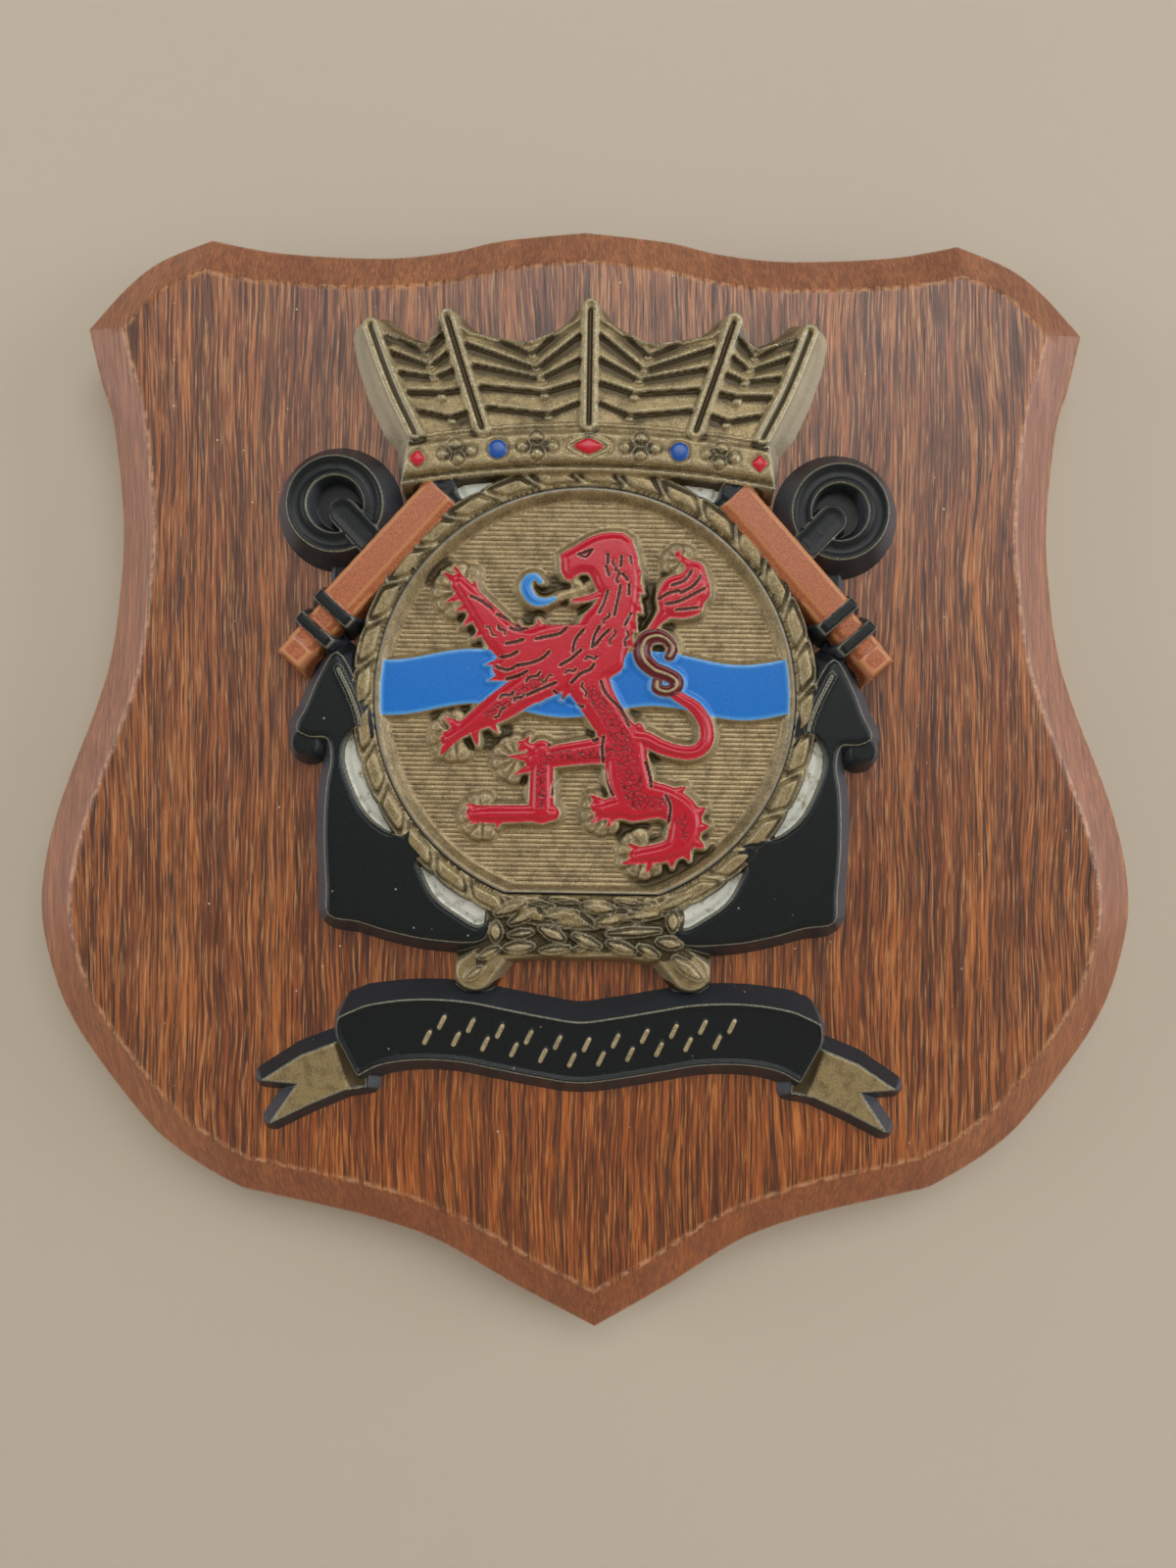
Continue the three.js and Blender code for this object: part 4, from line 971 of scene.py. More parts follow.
# Lion, in millimetres from the badge's centre: strokes of (u, v, half width)
lion = {
    "limbs": [
        [(4.2, 20.0, 2.3), (4.9, 16.2, 2.6), (4.2, 12.0, 2.85), (2.1, 7.3, 3.95), (0.2, 3.2, 3.3),
         (1.2, 0.2, 2.7), (3.4, -3.4, 2.45), (5.5, -6.9, 2.7), (6.2, -11.0, 3.1), (7.1, -14.2, 3.0)],
        [(2.1, 6.7, 4.4), (-2.1, 6.2, 4.2), (-6.2, 5.5, 3.95), (-11.2, 3.6, 1.6)],
        [(-6.7, 5.6, 3.5), (-10.6, 7.1, 2.6), (-13.6, 10.3, 2.0), (-17.6, 15.1, 1.15)],
        [(-4.8, 2.8, 3.0), (-8.3, 0.5, 2.3), (-12.2, -2.1, 2.0), (-16.8, -5.0, 1.0), (-18.8, -6.4, 1.1)],
        [(6.0, -7.4, 2.7), (1.6, -7.8, 1.75), (-6.7, -9.0, 1.45)],
        [(-5.8, -7.9, 1.5), (-5.8, -16.3, 1.7)],
        [(-4.4, -16.5, 1.1), (-12.9, -16.8, 1.25), (-15.2, -16.8, 1.0)],
        [(7.1, -14.5, 3.0), (11.3, -14.7, 2.3), (14.0, -16.6, 2.3), (14.0, -19.3, 2.15), (12.2, -21.4, 1.5),
         (7.6, -22.3, 1.15)],
        [(6.4, -15.2, 1.75), (3.2, -15.9, 1.4), (1.6, -15.4, 0.6)],
    ],
    "head": [(-3.7, 19.4), (-2.7, 20.0), (-1.7, 20.6), (-0.7, 21.2), (0.5, 21.9), (1.9, 22.4), (3.5, 22.6),
             (5.0, 22.5), (6.2, 21.7), (6.9, 19.6), (7.0, 14.8), (3.5, 13.7), (1.8, 14.0), (1.2, 15.1),
             (0.8, 16.1), (0.3, 16.8), (-0.8, 16.8), (-1.6, 16.3), (-2.2, 15.7), (-2.9, 16.0),
             (-3.5, 17.0), (-3.6, 18.2)],
    "jaw": [(-1.7, 13.0, 0.3), (0.0, 13.3, 0.38), (1.9, 14.0, 0.45)],
    "throat": [(0.6, 10.4, 1.0), (2.2, 12.2, 0.8), (3.2, 14.5, 0.8)],
    "tail": [(6.7, -6.0, 1.15), (8.6, -6.1, 1.1), (10.8, -7.1, 1.0), (13.5, -7.8, 0.95), (15.7, -7.6, 0.95),
             (17.0, -6.0, 0.95), (16.8, -3.7, 0.92), (15.4, -1.6, 0.88), (13.7, -0.5, 0.8),
             (12.0, 0.6, 0.75)],
    "stem": [(8.9, 8.8, 0.5), (9.7, 10.0, 0.55), (10.9, 11.4, 0.9)],
    "flame": [(10.5, 11.2), (10.1, 12.5), (9.9, 13.9), (10.3, 15.2), (11.3, 16.4), (13.1, 17.0),
              (13.7, 18.0), (12.9, 18.7), (12.2, 19.6), (12.7, 20.3), (13.3, 19.4), (14.4, 18.9),
              (16.0, 18.4), (16.6, 17.0), (17.1, 15.4), (17.1, 14.0), (16.3, 12.9), (15.8, 11.6),
              (14.2, 10.9), (12.5, 10.8)],
    "curl": [(11.7, 5.5, 0.75), (12.1, 6.7, 0.7), (11.2, 7.9, 0.8), (9.8, 8.3, 1.0), (8.4, 7.8, 1.1),
             (7.8, 6.4, 1.2), (8.2, 4.9, 1.2), (9.6, 3.6, 1.1), (11.3, 3.0, 1.0), (12.6, 2.2, 1.0),
             (12.6, 1.2, 0.9), (11.4, 0.6, 0.8), (10.1, 1.0, 0.8), (10.0, 2.0, 0.7)],
    "tongue": [(-4.4, 13.3, 0.35), (-5.7, 12.8, 0.55), (-7.1, 12.9, 0.75), (-8.0, 13.8, 0.85),
               (-8.4, 15.0, 0.8), (-7.9, 16.0, 0.65), (-7.0, 16.2, 0.5), (-6.4, 15.6, 0.4)],
    "tongueRoot": [(-4.6, 13.3, 0.32), (-2.8, 13.9, 0.3), (-0.2, 14.7, 0.35)],
    "teeth": [(-1.3, 15.3, 0.5), (-0.4, 14.5, 0.4), (-1.9, 14.1, 0.42), (0.4, 15.2, 0.4)],
    # Fur tufts and toes in red: root, tip, half width at the root
    "tufts": [
        (-17.2, 15.0, -18.3, 17.6, 0.6), (-17.5, 15.2, -19.9, 16.6, 0.55), (-17.0, 13.6, -19.3, 12.6, 0.6),
        (-15.4, 10.9, -17.0, 9.3, 0.6), (-13.8, 9.2, -15.4, 7.6, 0.55), (-15.3, 13.4, -15.5, 15.6, 0.5),
        (-9.0, 7.2, -9.4, 9.9, 0.7), (-6.2, 8.6, -6.6, 10.4, 0.6), (-10.0, 5.8, -13.4, 6.2, 0.8),
        (-9.6, 4.6, -13.6, 4.0, 0.9), (-9.0, 3.0, -13.2, 1.8, 0.9), (-8.4, 1.8, -11.2, -0.2, 0.7),
        (-5.5, 0.8, -6.4, -1.2, 0.7), (-2.0, 1.4, -3.2, -0.8, 0.7), (0.4, 0.8, -0.2, -1.4, 0.6),
        (6.2, 17.8, 7.6, 17.0, 0.7), (6.4, 15.6, 7.9, 14.2, 0.8), (6.4, 13.2, 7.7, 11.4, 0.8),
        (5.9, 11.0, 7.0, 8.9, 0.8), (5.2, 8.6, 6.6, 6.6, 0.85), (4.2, 6.3, 5.2, 4.0, 0.8),
        (5.6, 19.8, 7.0, 19.0, 0.7), (2.6, 21.4, 4.6, 22.2, 0.8), (-16.8, -5.2, -19.4, -3.4, 0.8),
        (-18.6, -6.6, -19.9, -8.7, 0.6), (-15.2, -5.4, -14.8, -7.3, 0.5), (-13.0, -4.2, -12.0, -5.4, 0.45),
        (-6.4, -8.0, -9.2, -6.6, 0.7), (-6.6, -9.0, -10.4, -8.7, 0.65), (-6.4, -9.9, -9.6, -11.2, 0.6),
        (-14.6, -16.2, -16.2, -15.4, 0.6), (-14.2, -17.2, -15.6, -18.2, 0.55),
        (-11.6, -17.4, -11.9, -18.6, 0.45), (2.6, -15.0, 1.0, -13.9, 0.55),
        (3.0, -16.4, 1.2, -17.8, 0.6), (4.4, -16.6, 3.4, -18.4, 0.5), (8.2, -21.8, 6.4, -20.6, 0.6),
        (8.0, -22.6, 5.6, -23.4, 0.6), (9.8, -22.6, 8.9, -24.6, 0.5), (15.6, -16.4, 17.0, -15.4, 0.7),
        (16.0, -18.2, 17.5, -18.0, 0.7), (15.6, -20.2, 16.9, -21.0, 0.7),
        (14.2, -21.4, 14.9, -22.8, 0.6), (12.4, -22.4, 12.5, -23.8, 0.5),
        (12.8, -13.4, 14.2, -12.6, 0.6), (7.6, -4.4, 8.2, -5.6, 0.6), (-8.6, -7.6, -7.6, -5.9, 0.5),
        (-16.1, 12.2, -18.0, 11.3, 0.5),
    ],
    # Bare gold claws spread like a scallop: centre, reach, first and last angle, number
    "paws": [(-17.3, 14.1, 3.55, 62, 244, 7), (-17.9, -6.0, 3.2, 84, 292, 7), (-9.3, -9.0, 3.0, 92, 262, 6),
             (-13.9, -17.1, 2.9, 84, 286, 7), (2.9, -16.3, 2.8, 118, 300, 6), (8.6, -21.9, 3.2, 104, 306, 7),
             (13.0, 18.6, 2.1, 60, 250, 5)],
    # Plump middles with a pitted skin
    "pitted": [
        [(0.9, 0.2, 1.2), (3.6, -3.4, 1.5), (5.5, -7.4, 1.8), (6.4, -11.0, 1.9), (7.6, -14.6, 1.6),
         (11.6, -14.8, 1.0)],
        [(3.8, -8.0, 1.0), (-1.0, -8.4, 1.0), (-5.4, -9.0, 1.0), (-5.8, -15.2, 1.0)],
        [(-6.2, 1.8, 1.2), (-10.0, -0.8, 1.1), (-13.6, -3.2, 0.8)], [(13.8, -17.0, 1.0), (14.2, -19.4, 0.9)],
    ],
    # Limbs that carry rows of short engraved hairs, with the share of their length
    "furred": [(0, 0.52), (1, 0.85), (2, 0.7), (3, 0.55)],
    # Engraved fur, as lines
    "lines": [
        [(-6.9, 7.6), (-5.1, 8.0), (-3.6, 8.4), (-2.7, 9.2)], [(-0.3, 9.0), (-1.4, 7.6), (-1.8, 5.9)],
        [(1.9, 9.5), (1.2, 8.1), (0.9, 6.6)], [(3.2, 9.0), (2.2, 8.0), (1.3, 6.8)],
        [(-9.4, 3.9), (-7.7, 4.2), (-6.0, 4.9), (-5.0, 5.9)], [(-3.5, 4.0), (-2.0, 4.9), (-0.6, 6.2)],
        [(-8.0, -0.2), (-6.0, 0.7), (-4.0, 1.6)], [(-1.9, 1.6), (-0.6, 2.9), (0.6, 3.4), (1.2, 4.2)],
        [(-11.0, 6.9), (-9.8, 7.1), (-8.6, 7.5)], [(-10.5, 9.1), (-9.2, 8.8), (-8.1, 9.2)],
        [(-11.8, 5.0), (-10.5, 5.2), (-9.4, 5.8)], [(-12.3, 3.7), (-10.8, 3.2), (-9.4, 3.9)],
        [(-10.9, 2.0), (-9.4, 2.4), (-8.0, 3.1)], [(4.7, 15.1), (4.4, 13.4), (3.9, 11.1)],
        [(5.9, 15.3), (5.9, 14.0)], [(6.2, 11.3), (5.4, 9.7)], [(3.0, 14.4), (2.4, 12.7), (1.8, 11.4)],
        [(2.9, 19.5), (2.9, 18.3)], [(4.8, 19.2), (4.7, 17.9)], [(2.7, 17.8), (3.1, 16.6)],
        [(6.0, 19.2), (6.2, 18.4)], [(5.0, 16.8), (5.7, 16.0)], [(2.7, -5.8), (2.5, -7.5), (2.7, -9.3)],
        [(2.9, -10.3), (3.3, -12.2), (4.1, -13.9)], [(8.6, -9.2), (9.2, -11.1), (9.4, -12.6)],
        [(-4.3, 0.4), (-1.9, -1.2), (-0.2, -1.7)], [(2.2, 1.9), (2.9, 0.2), (4.9, -1.8), (6.2, -4.2)],
        [(11.4, -13.8), (12.1, -15.4), (11.8, -18.2)], [(-3.4, -11.1), (-4.1, -12.5), (-4.3, -14.0)],
        [(-5.0, -7.1), (-2.8, -6.4), (-1.5, -5.9)], [(-16.0, 13.4), (-14.6, 12.8), (-13.1, 11.8)],
        [(-12.4, 11.0), (-10.5, 10.1), (-9.2, 9.2)], [(1.4, -5.1), (1.1, -5.8), (1.4, -6.4), (1.9, -6.1)],
        [(10.1, 13.5), (11.4, 14.2), (12.8, 14.6)], [(12.5, 11.9), (14.2, 12.1), (15.5, 12.3)],
        [(11.1, 12.7), (12.8, 13.1), (14.8, 14.1), (16.4, 15.0)], [(13.1, 14.3), (14.8, 15.3), (15.8, 16.7)],
        [(11.8, 15.3), (13.5, 16.0), (14.5, 17.3)],
    ],
    "eye": [(-1.25, 19.35), (0.75, 20.1), (-0.1, 19.0)],
}


def buildLion(relief):
    def add(field, window, inside, blend=0.35):
        field[window] = np.where(inside > -3, softMax(field[window], inside, blend), field[window])

    red = np.full(relief.gridU.shape, -9.0)
    for limb in lion["limbs"] + [lion["throat"]]:
        add(red, *relief.stroke(smoothLine(limb, 5), 3))
    add(red, *relief.outline(np.array(lion["head"]), 3), 0.2)
    for part in ("tail", "jaw", "stem"):
        add(red, *relief.stroke(smoothLine(lion[part], 5), 3), 0.15)
    add(red, *relief.outline(smoothLine(lion["flame"], 4, closed=True), 3), 0.15)
    for u0, v0, u1, v1, half in lion["tufts"]:
        tuft = [(u0, v0, half), ((u0 + u1) / 2, (v0 + v1) / 2, half * 0.75), (u1, v1, 0.1)]
        add(red, *relief.stroke(tuft, 2), 0.3)
    curl, tongue, gold = (np.full(relief.gridU.shape, -9.0) for _ in range(3))
    add(curl, *relief.stroke(smoothLine(lion["curl"], 6), 3), 0.1)
    add(tongue, *relief.stroke(smoothLine(lion["tongue"], 6), 3), 0.1)
    add(gold, *relief.stroke(smoothLine(lion["tongueRoot"], 6), 3), 0.1)
    for u, v, size in lion["teeth"]:
        add(gold, *relief.circle(u, v, size, 3), 0.1)
    between = np.full(relief.gridU.shape, -9.0)
    for u, v, far, first, last, number in lion["paws"]:
        turn = math.radians(last - first) / (number - 1)
        for i in range(number):
            angle = math.radians(first) + i * turn
            ahead = np.array([math.cos(angle), math.sin(angle)])
            tip, root = (u, v) + ahead * (far - 0.7), (u, v) + ahead * (far - 1.9)
            add(gold, *relief.stroke([(*root, 0.5), (*tip, 0.72)], 3), 0.05)
            if i < number - 1:
                ahead = np.array([math.cos(angle + turn / 2), math.sin(angle + turn / 2)])
                tip, root = (u, v) + ahead * (far - 0.1), (u, v) + ahead * (far - 2.1)
                add(between, *relief.stroke([(*root, 0.1), (*tip, 0.16)], 1), 0.05)

    painted = np.maximum(red, np.maximum(curl, tongue))
    whole = np.maximum(painted, gold)
    top = badge["lionRelief"]
    wall = ramp(whole, -1.1, -0.05)
    dome = 0.35 * ramp(whole, 0.0, 1.1)
    ground = np.maximum(relief.height, badge["floor"])
    height = ground + (top - 0.35 - ground) * wall + dome
    height -= 0.25 * ramp(-painted, 0.0, 0.3)
    height -= 0.32 * ramp(between, -0.2, 0.1) * ramp(-painted, 0.0, 0.2)
    relief.height = np.where(whole > -1.15, np.maximum(relief.height, height), relief.height)

    everywhere = np.s_[:, :]
    relief.coat(everywhere, np.clip(np.minimum(gold + 0.25, -painted), -1, 1), None)
    relief.coat(everywhere, np.clip(red, -1, 1), "red")
    relief.coat(everywhere, np.clip(curl, -1, 1), "curl")
    relief.coat(everywhere, np.clip(tongue - 0.05, -1, 1), "blue")
    lip = np.maximum(red, curl)
    relief.height -= 0.16 * ramp(lip, 0.0, 0.12) * (1 - ramp(lip, 0.5, 1.0))

    lines = np.full(relief.gridU.shape, -1.0)
    for line in lion["lines"]:
        window, inside = relief.groove(line, 0.2, 0.34, 5)
        lines[window] = np.maximum(lines[window], inside)
    random = np.random.default_rng(11)
    for number, share in lion["furred"]:
        limb = smoothLine(lion["limbs"][number], 8)
        limb = limb[:int(len(limb) * share)]
        for i in range(2, len(limb) - 1, 3):
            ahead = limb[i + 1, :2] - limb[i - 1, :2]
            ahead /= np.linalg.norm(ahead)
            side = np.array([-ahead[1], ahead[0]])
            for across in (-0.72, -0.24, 0.24, 0.72):
                spread = across + random.uniform(-0.12, 0.12)
                start = limb[i, :2] + side * spread * limb[i, 2] + ahead * random.uniform(-0.5, 0.5)
                length = random.uniform(1.5, 2.4)
                bend = random.choice((-1, 1)) * 0.24
                hair = []
                for t in (0, 0.25, 0.5, 0.75, 1):
                    sway = spread * 0.5 * t * length + bend * math.sin(2 * math.pi * t)
                    hair.append(start + ahead * length * t + side * sway)
                spots = [(np.searchsorted(relief.lineV, q[1]), np.searchsorted(relief.lineU, q[0]))
                         for q in hair]
                if min(red[spot] for spot in spots) < 0.4 or max(lines[spot] for spot in spots) > -0.55:
                    continue
                window, inside = relief.groove(hair, random.uniform(0.12, 0.19), 0.3, 4)
                lines[window] = np.maximum(lines[window], inside)
    centre = smoothLine([(u, v, 0.2) for u, v, _ in lion["curl"]], 6)
    window, inside = relief.stroke(centre, 1)
    relief.height[window] += 0.15 * ramp(inside, -0.2, 0.15)
    relief.coat(window, np.clip(inside, -1, 1), None)
    window, inside = relief.outline(np.array(lion["eye"]), 1)
    relief.height[window] -= 0.25 * ramp(inside, -0.15, 0.1)
    lines[window] = np.maximum(lines[window], 0.16 - np.abs(inside + 0.02))
    pitted = np.full(relief.gridU.shape, -1.0)
    for middle in lion["pitted"]:
        window, inside = relief.stroke(smoothLine(middle, 5), 1)
        pitted[window] = np.maximum(pitted[window], inside)
    relief.paint["pitted"] = pitted
    return whole, lines


def makeBadge():
    pitch = badge["ribPitch"]
    reach = badge["radius"] + 0.6
    drop = casting["badgeDrop"]
    relief = Relief((-reach, -badge["foot"] - drop - 0.6), (reach, reach - drop), badge["stepU"], pitch / 4,
                    ("red", "curl", "blue"))
    gridU, gridV = relief.gridU, relief.gridV
    overFoot = gridV + drop + badge["foot"]
    inRim = np.minimum(badge["radius"] - np.hypot(gridU, gridV + drop), overFoot)
    inSlope = np.minimum(badge["radius"] - np.hypot(gridU, gridV + drop),
                         overFoot * badge["rimSlope"] / badge["footSlope"])
    relief.height[:] = badge["floor"]
    bar = buildBar(relief, inSlope)
    whole, lines = buildLion(relief)
    # Fine level ribs on the bare gold, dying out before every form
    clear = np.minimum(np.minimum(-whole - 1.1, -bar - 0.75), inSlope - badge["rimSlope"] - 0.1)
    ribs = 0.5 - 0.5 * np.cos(2 * math.pi * gridV / pitch)
    relief.height -= 0.2 * ribs * ramp(clear, 0.0, 0.25)
    rimHeight = badge["floor"] + (badge["rim"] - badge["floor"]) * (1 - ramp(inSlope, 0.3, badge["rimSlope"]))
    relief.height = softMax(relief.height, rimHeight, 0.15)
    relief.trim = np.clip(inRim - 0.35, -1, 1)
    nearLine = np.minimum(np.abs(relief.trim), np.abs(lines - 0.02))
    relief.trim = np.where(np.abs(lines) < 0.35, nearLine, relief.trim)
    relief.paint["groove"] = lines
    relief.paint["rib"] = np.where(clear > 0, ribs, 0)
    return reliefMesh("badge", relief, inRim, badge["stepU"], {"rimBand": np.clip(inSlope, 0, 2.5)})


# Materials


def newSocket(group, name, kind, into, default=None):
    socket = group.interface.new_socket(name=name, in_out="INPUT" if into else "OUTPUT", socket_type=kind)
    if default is not None:
        socket.default_value = default


class Nodes:
    # Short hand for building a node tree
    def __init__(self, tree):
        self.tree = tree

    def add(self, kind, settings=None, **inputs):
        node = self.tree.nodes.new(kind)
        for key, value in (settings or {}).items():
            setattr(node, key, value)
        for key, value in inputs.items():
            self.feed(node, key, value)
        return node

    def feed(self, node, key, value):
        if isinstance(key, str) and key.startswith("in"):
            socket = node.inputs[int(key[2:])]
        else:
            socket = node.inputs[key]
        if isinstance(value, bpy.types.NodeSocket):
            self.tree.links.new(value, socket)
        else:
            socket.default_value = value

    def math(self, operation, a, b=0.0, c=0.0, clamp=False):
        node = self.add("ShaderNodeMath", {"operation": operation, "use_clamp": clamp}, in0=a, in1=b)
        if operation == "MULTIPLY_ADD":
            self.feed(node, "in2", c)
        return node.outputs[0]

    def band(self, value, low, high, toLow=0.0, toHigh=1.0):
        node = self.add("ShaderNodeMapRange", {"interpolation_type": "SMOOTHSTEP"})
        for i, given in enumerate((value, low, high, toLow, toHigh)):
            self.feed(node, "in" + str(i), given)
        return node.outputs[0]

    def mix(self, share, a, b, blend="MIX"):
        node = self.add("ShaderNodeMix", {"data_type": "RGBA", "blend_type": blend, "clamp_factor": True})
        self.feed(node, "in0", share)
        self.feed(node, "in6", a)
        self.feed(node, "in7", b)
        return node.outputs[2]

    def field(self, name):
        return self.add("ShaderNodeAttribute", {"attribute_name": name}).outputs["Fac"]

    def noise(self, where, scale, detail=3.0, rough=0.5):
        node = self.add("ShaderNodeTexNoise", None, Vector=where, Scale=scale, Detail=detail, Roughness=rough)
        return node.outputs["Fac"]

    def place(self, scale):
        where = self.add("ShaderNodeTexCoord").outputs["Object"]
        return self.add("ShaderNodeMapping", None, Vector=where, Scale=scale).outputs[0]

    def facing(self, axis):
        # How squarely the surface faces along an axis, either way
        return self.math("ABSOLUTE", self.normal().outputs[axis])

    def normal(self):
        surface = self.add("ShaderNodeNewGeometry")
        return self.add("ShaderNodeSeparateXYZ", None, in0=surface.outputs["Normal"])


def colour(r, g, b):
    # From a colour picker's 0 to 255 values
    def linear(x):
        x = x / 255
        return x / 12.92 if x <= 0.04045 else ((x + 0.055) / 1.055) ** 2.4
    return (linear(r), linear(g), linear(b), 1.0)


def dustGroup():
    # Tiny pale specks that lie on everything
    group = bpy.data.node_groups.new("dust specks", "ShaderNodeTree")
    newSocket(group, "Density", "NodeSocketFloat", True, 0.5)
    newSocket(group, "Specks", "NodeSocketFloat", False)
    n = Nodes(group)
    given = n.add("NodeGroupInput")
    cells = n.add("ShaderNodeTexVoronoi", {"feature": "F1"}, Vector=n.place((1000, 1000, 1000)), Scale=0.8,
                  Randomness=1.0)
    pick = n.add("ShaderNodeSeparateColor", None, Color=cells.outputs["Color"])
    size = n.math("MULTIPLY_ADD", pick.outputs[1], 0.09, 0.04)
    near = n.band(n.math("DIVIDE", cells.outputs["Distance"], size), 0.6, 1.1, 1.0, 0.0)
    some = n.math("LESS_THAN", pick.outputs[0], given.outputs["Density"])
    out = n.add("NodeGroupOutput")
    strength = n.band(pick.outputs[2], 0, 1, 0.25, 0.9)
    n.feed(out, "in0", n.math("MULTIPLY", near, n.math("MULTIPLY", some, strength)))
    return group


def wornMetalGroup():
    # Wash colour in the hollows (antique wash, and in the badge partly painted shade), the rubbed colour on
    # high spots and wherever the Edge input marks, which includes painted highlight on side-facing walls,
    # mottling and cast grain
    group = bpy.data.node_groups.new("antique wash", "ShaderNodeTree")
    for name in ("Metal", "Wash", "Rubbed"):
        newSocket(group, name, "NodeSocketColor", True, (0.4, 0.3, 0.15, 1))
    newSocket(group, "Hollow", "NodeSocketFloat", True, 0.0)
    newSocket(group, "Edge", "NodeSocketFloat", True, 0.0)
    newSocket(group, "Color", "NodeSocketColor", False)
    newSocket(group, "Roughness", "NodeSocketFloat", False)
    newSocket(group, "Grain", "NodeSocketFloat", False)
    n = Nodes(group)
    given = n.add("NodeGroupInput")
    where = n.place((1000, 1000, 1000))
    mottle = n.noise(where, 0.55, 5.0, 0.62)
    grain = n.noise(where, 4.5, 3.0, 0.65)
    dark = n.mix(0.5, given.outputs["Metal"], given.outputs["Wash"])
    base = n.mix(n.band(mottle, 0.42, 0.68), given.outputs["Metal"], dark)
    base = n.mix(n.band(grain, 0.5, 0.68, 0.0, 0.5), base, given.outputs["Wash"])
    base = n.mix(n.band(grain, 0.46, 0.3, 0.0, 0.4), base, given.outputs["Rubbed"])
    hollow = n.math("ADD", given.outputs["Hollow"], n.math("MULTIPLY_ADD", grain, 0.5, -0.25), clamp=True)
    washed = n.mix(n.band(hollow, 0.08, 0.8), base, given.outputs["Wash"])
    edge = n.math("MULTIPLY", given.outputs["Edge"], n.band(grain, 0.32, 0.56, 1.0, 0.3), clamp=True)
    out = n.add("NodeGroupOutput")
    n.feed(out, "in0", n.mix(edge, washed, given.outputs["Rubbed"]))
    n.feed(out, "in1", n.math("MULTIPLY_ADD", mottle, 0.25, 0.3))
    n.feed(out, "in2", grain)
    return group


def useGroup(n, group, **inputs):
    node = n.add("ShaderNodeGroup", {"node_tree": group})
    for key, value in inputs.items():
        n.feed(node, key, value)
    return node


def newMaterial(name):
    material = bpy.data.materials.new(name)
    material.use_nodes = True
    tree = material.node_tree
    shader = tree.nodes["Principled BSDF"]
    return material, Nodes(tree), shader


wood = {
    "light": colour(176, 108, 60),
    "middle": colour(138, 78, 46),
    "dark": colour(80, 44, 27),
    "pore": colour(38, 20, 15),
    "worn": colour(204, 154, 106),
    "bevel": colour(150, 92, 60),
    "edge": colour(190, 142, 104),
    "lowerNoSheenTint": colour(255, 226, 170),
    "roughness": 0.4,
    "coat": 0.2,
    "coatRoughness": 0.32,
    "grainDepth": 0.00007,
}


def mahogany(dust):
    material, n, shader = newMaterial("mahogany")
    waver = n.noise(n.place((60, 60, 26)), 1.0, 2.0, 0.5)
    where = n.add("ShaderNodeTexCoord").outputs["Object"]
    shift = n.add("ShaderNodeCombineXYZ", None, in0=n.math("MULTIPLY_ADD", waver, 0.004, -0.002))
    where = n.add("ShaderNodeVectorMath", {"operation": "ADD"}, in0=where, in1=shift.outputs[0]).outputs[0]

    def grain(scale, detail, rough=0.55):
        stretched = n.add("ShaderNodeMapping", None, Vector=where, Scale=scale).outputs[0]
        return n.noise(stretched, 1.0, detail, rough)

    bands = grain((190, 60, 4.5), 3.0)
    streaks = grain((850, 400, 24), 4.0, 0.6)
    dashes = grain((2600, 600, 56), 4.0)
    fibres = grain((4600, 1100, 190), 2.0)
    pores = grain((3800, 900, 120), 2.0, 0.5)
    ripple = grain((240, 200, 190), 2.0)
    base = n.mix(n.band(bands, 0.32, 0.68), wood["middle"], wood["light"])
    base = n.mix(n.band(streaks, 0.43, 0.66, 0.0, 0.85), base, wood["dark"])
    base = n.mix(n.band(ripple, 0.52, 0.75, 0.0, 0.2), base, wood["light"])
    base = n.mix(n.band(dashes, 0.47, 0.6, 0.0, 0.9), base, wood["dark"])
    base = n.mix(n.band(fibres, 0.52, 0.68, 0.0, 0.65), base, wood["pore"])
    base = n.mix(n.band(fibres, 0.46, 0.32, 0.0, 0.55), base, wood["worn"])
    base = n.mix(n.band(pores, 0.6, 0.68, 0.0, 0.8), base, wood["pore"])
    # The bevel and the edges are sanded and take the stain evenly
    cut = n.band(n.facing(1), 0.95, 0.8, 0.0, 0.6)
    base = n.mix(cut, base, n.mix(n.band(bands, 0.3, 0.7), wood["middle"], wood["bevel"]))
    place = n.add("ShaderNodeSeparateXYZ", None, in0=where)
    # Painted light: the lower middle of the board is tinted deeper orange, standing in for the sheen that
    # only the upper board reflects
    low = n.band(place.outputs[2], 0.02, -0.06)
    low = n.math("MULTIPLY", low, n.band(n.math("ABSOLUTE", place.outputs[0]), 0.03, 0.065, 1.0, 0.3))
    base = n.mix(low, base, wood["lowerNoSheenTint"], "MULTIPLY")
    edge = n.band(n.field("edgeLine"), 0.0, 1.0, 1.0, 0.0)
    nick = n.noise(n.place((900, 900, 900)), 1.0, 3.0, 0.6)
    edge = n.math("MULTIPLY", edge, n.band(nick, 0.4, 0.66, 0.1, 0.85))
    base = n.mix(edge, base, wood["edge"])
    specks = useGroup(n, dust, Density=0.1).outputs[0]
    base = n.mix(n.math("MULTIPLY", specks, 0.75), base, colour(232, 224, 214))
    n.feed(shader, "Base Color", base)
    n.feed(shader, "Roughness", n.math("MULTIPLY_ADD", dashes, 0.2, wood["roughness"] - 0.1))
    shader.inputs["Coat Weight"].default_value = wood["coat"]
    shader.inputs["Coat Roughness"].default_value = wood["coatRoughness"]
    height = n.math("MULTIPLY_ADD", n.band(pores, 0.58, 0.7), -1.0, n.math("MULTIPLY", dashes, -0.8))
    height = n.math("MULTIPLY_ADD", fibres, -0.5, height)
    bump = n.add("ShaderNodeBump", None, Strength=0.5, Distance=wood["grainDepth"], Height=height)
    n.feed(shader, "Normal", bump.outputs[0])
    return material


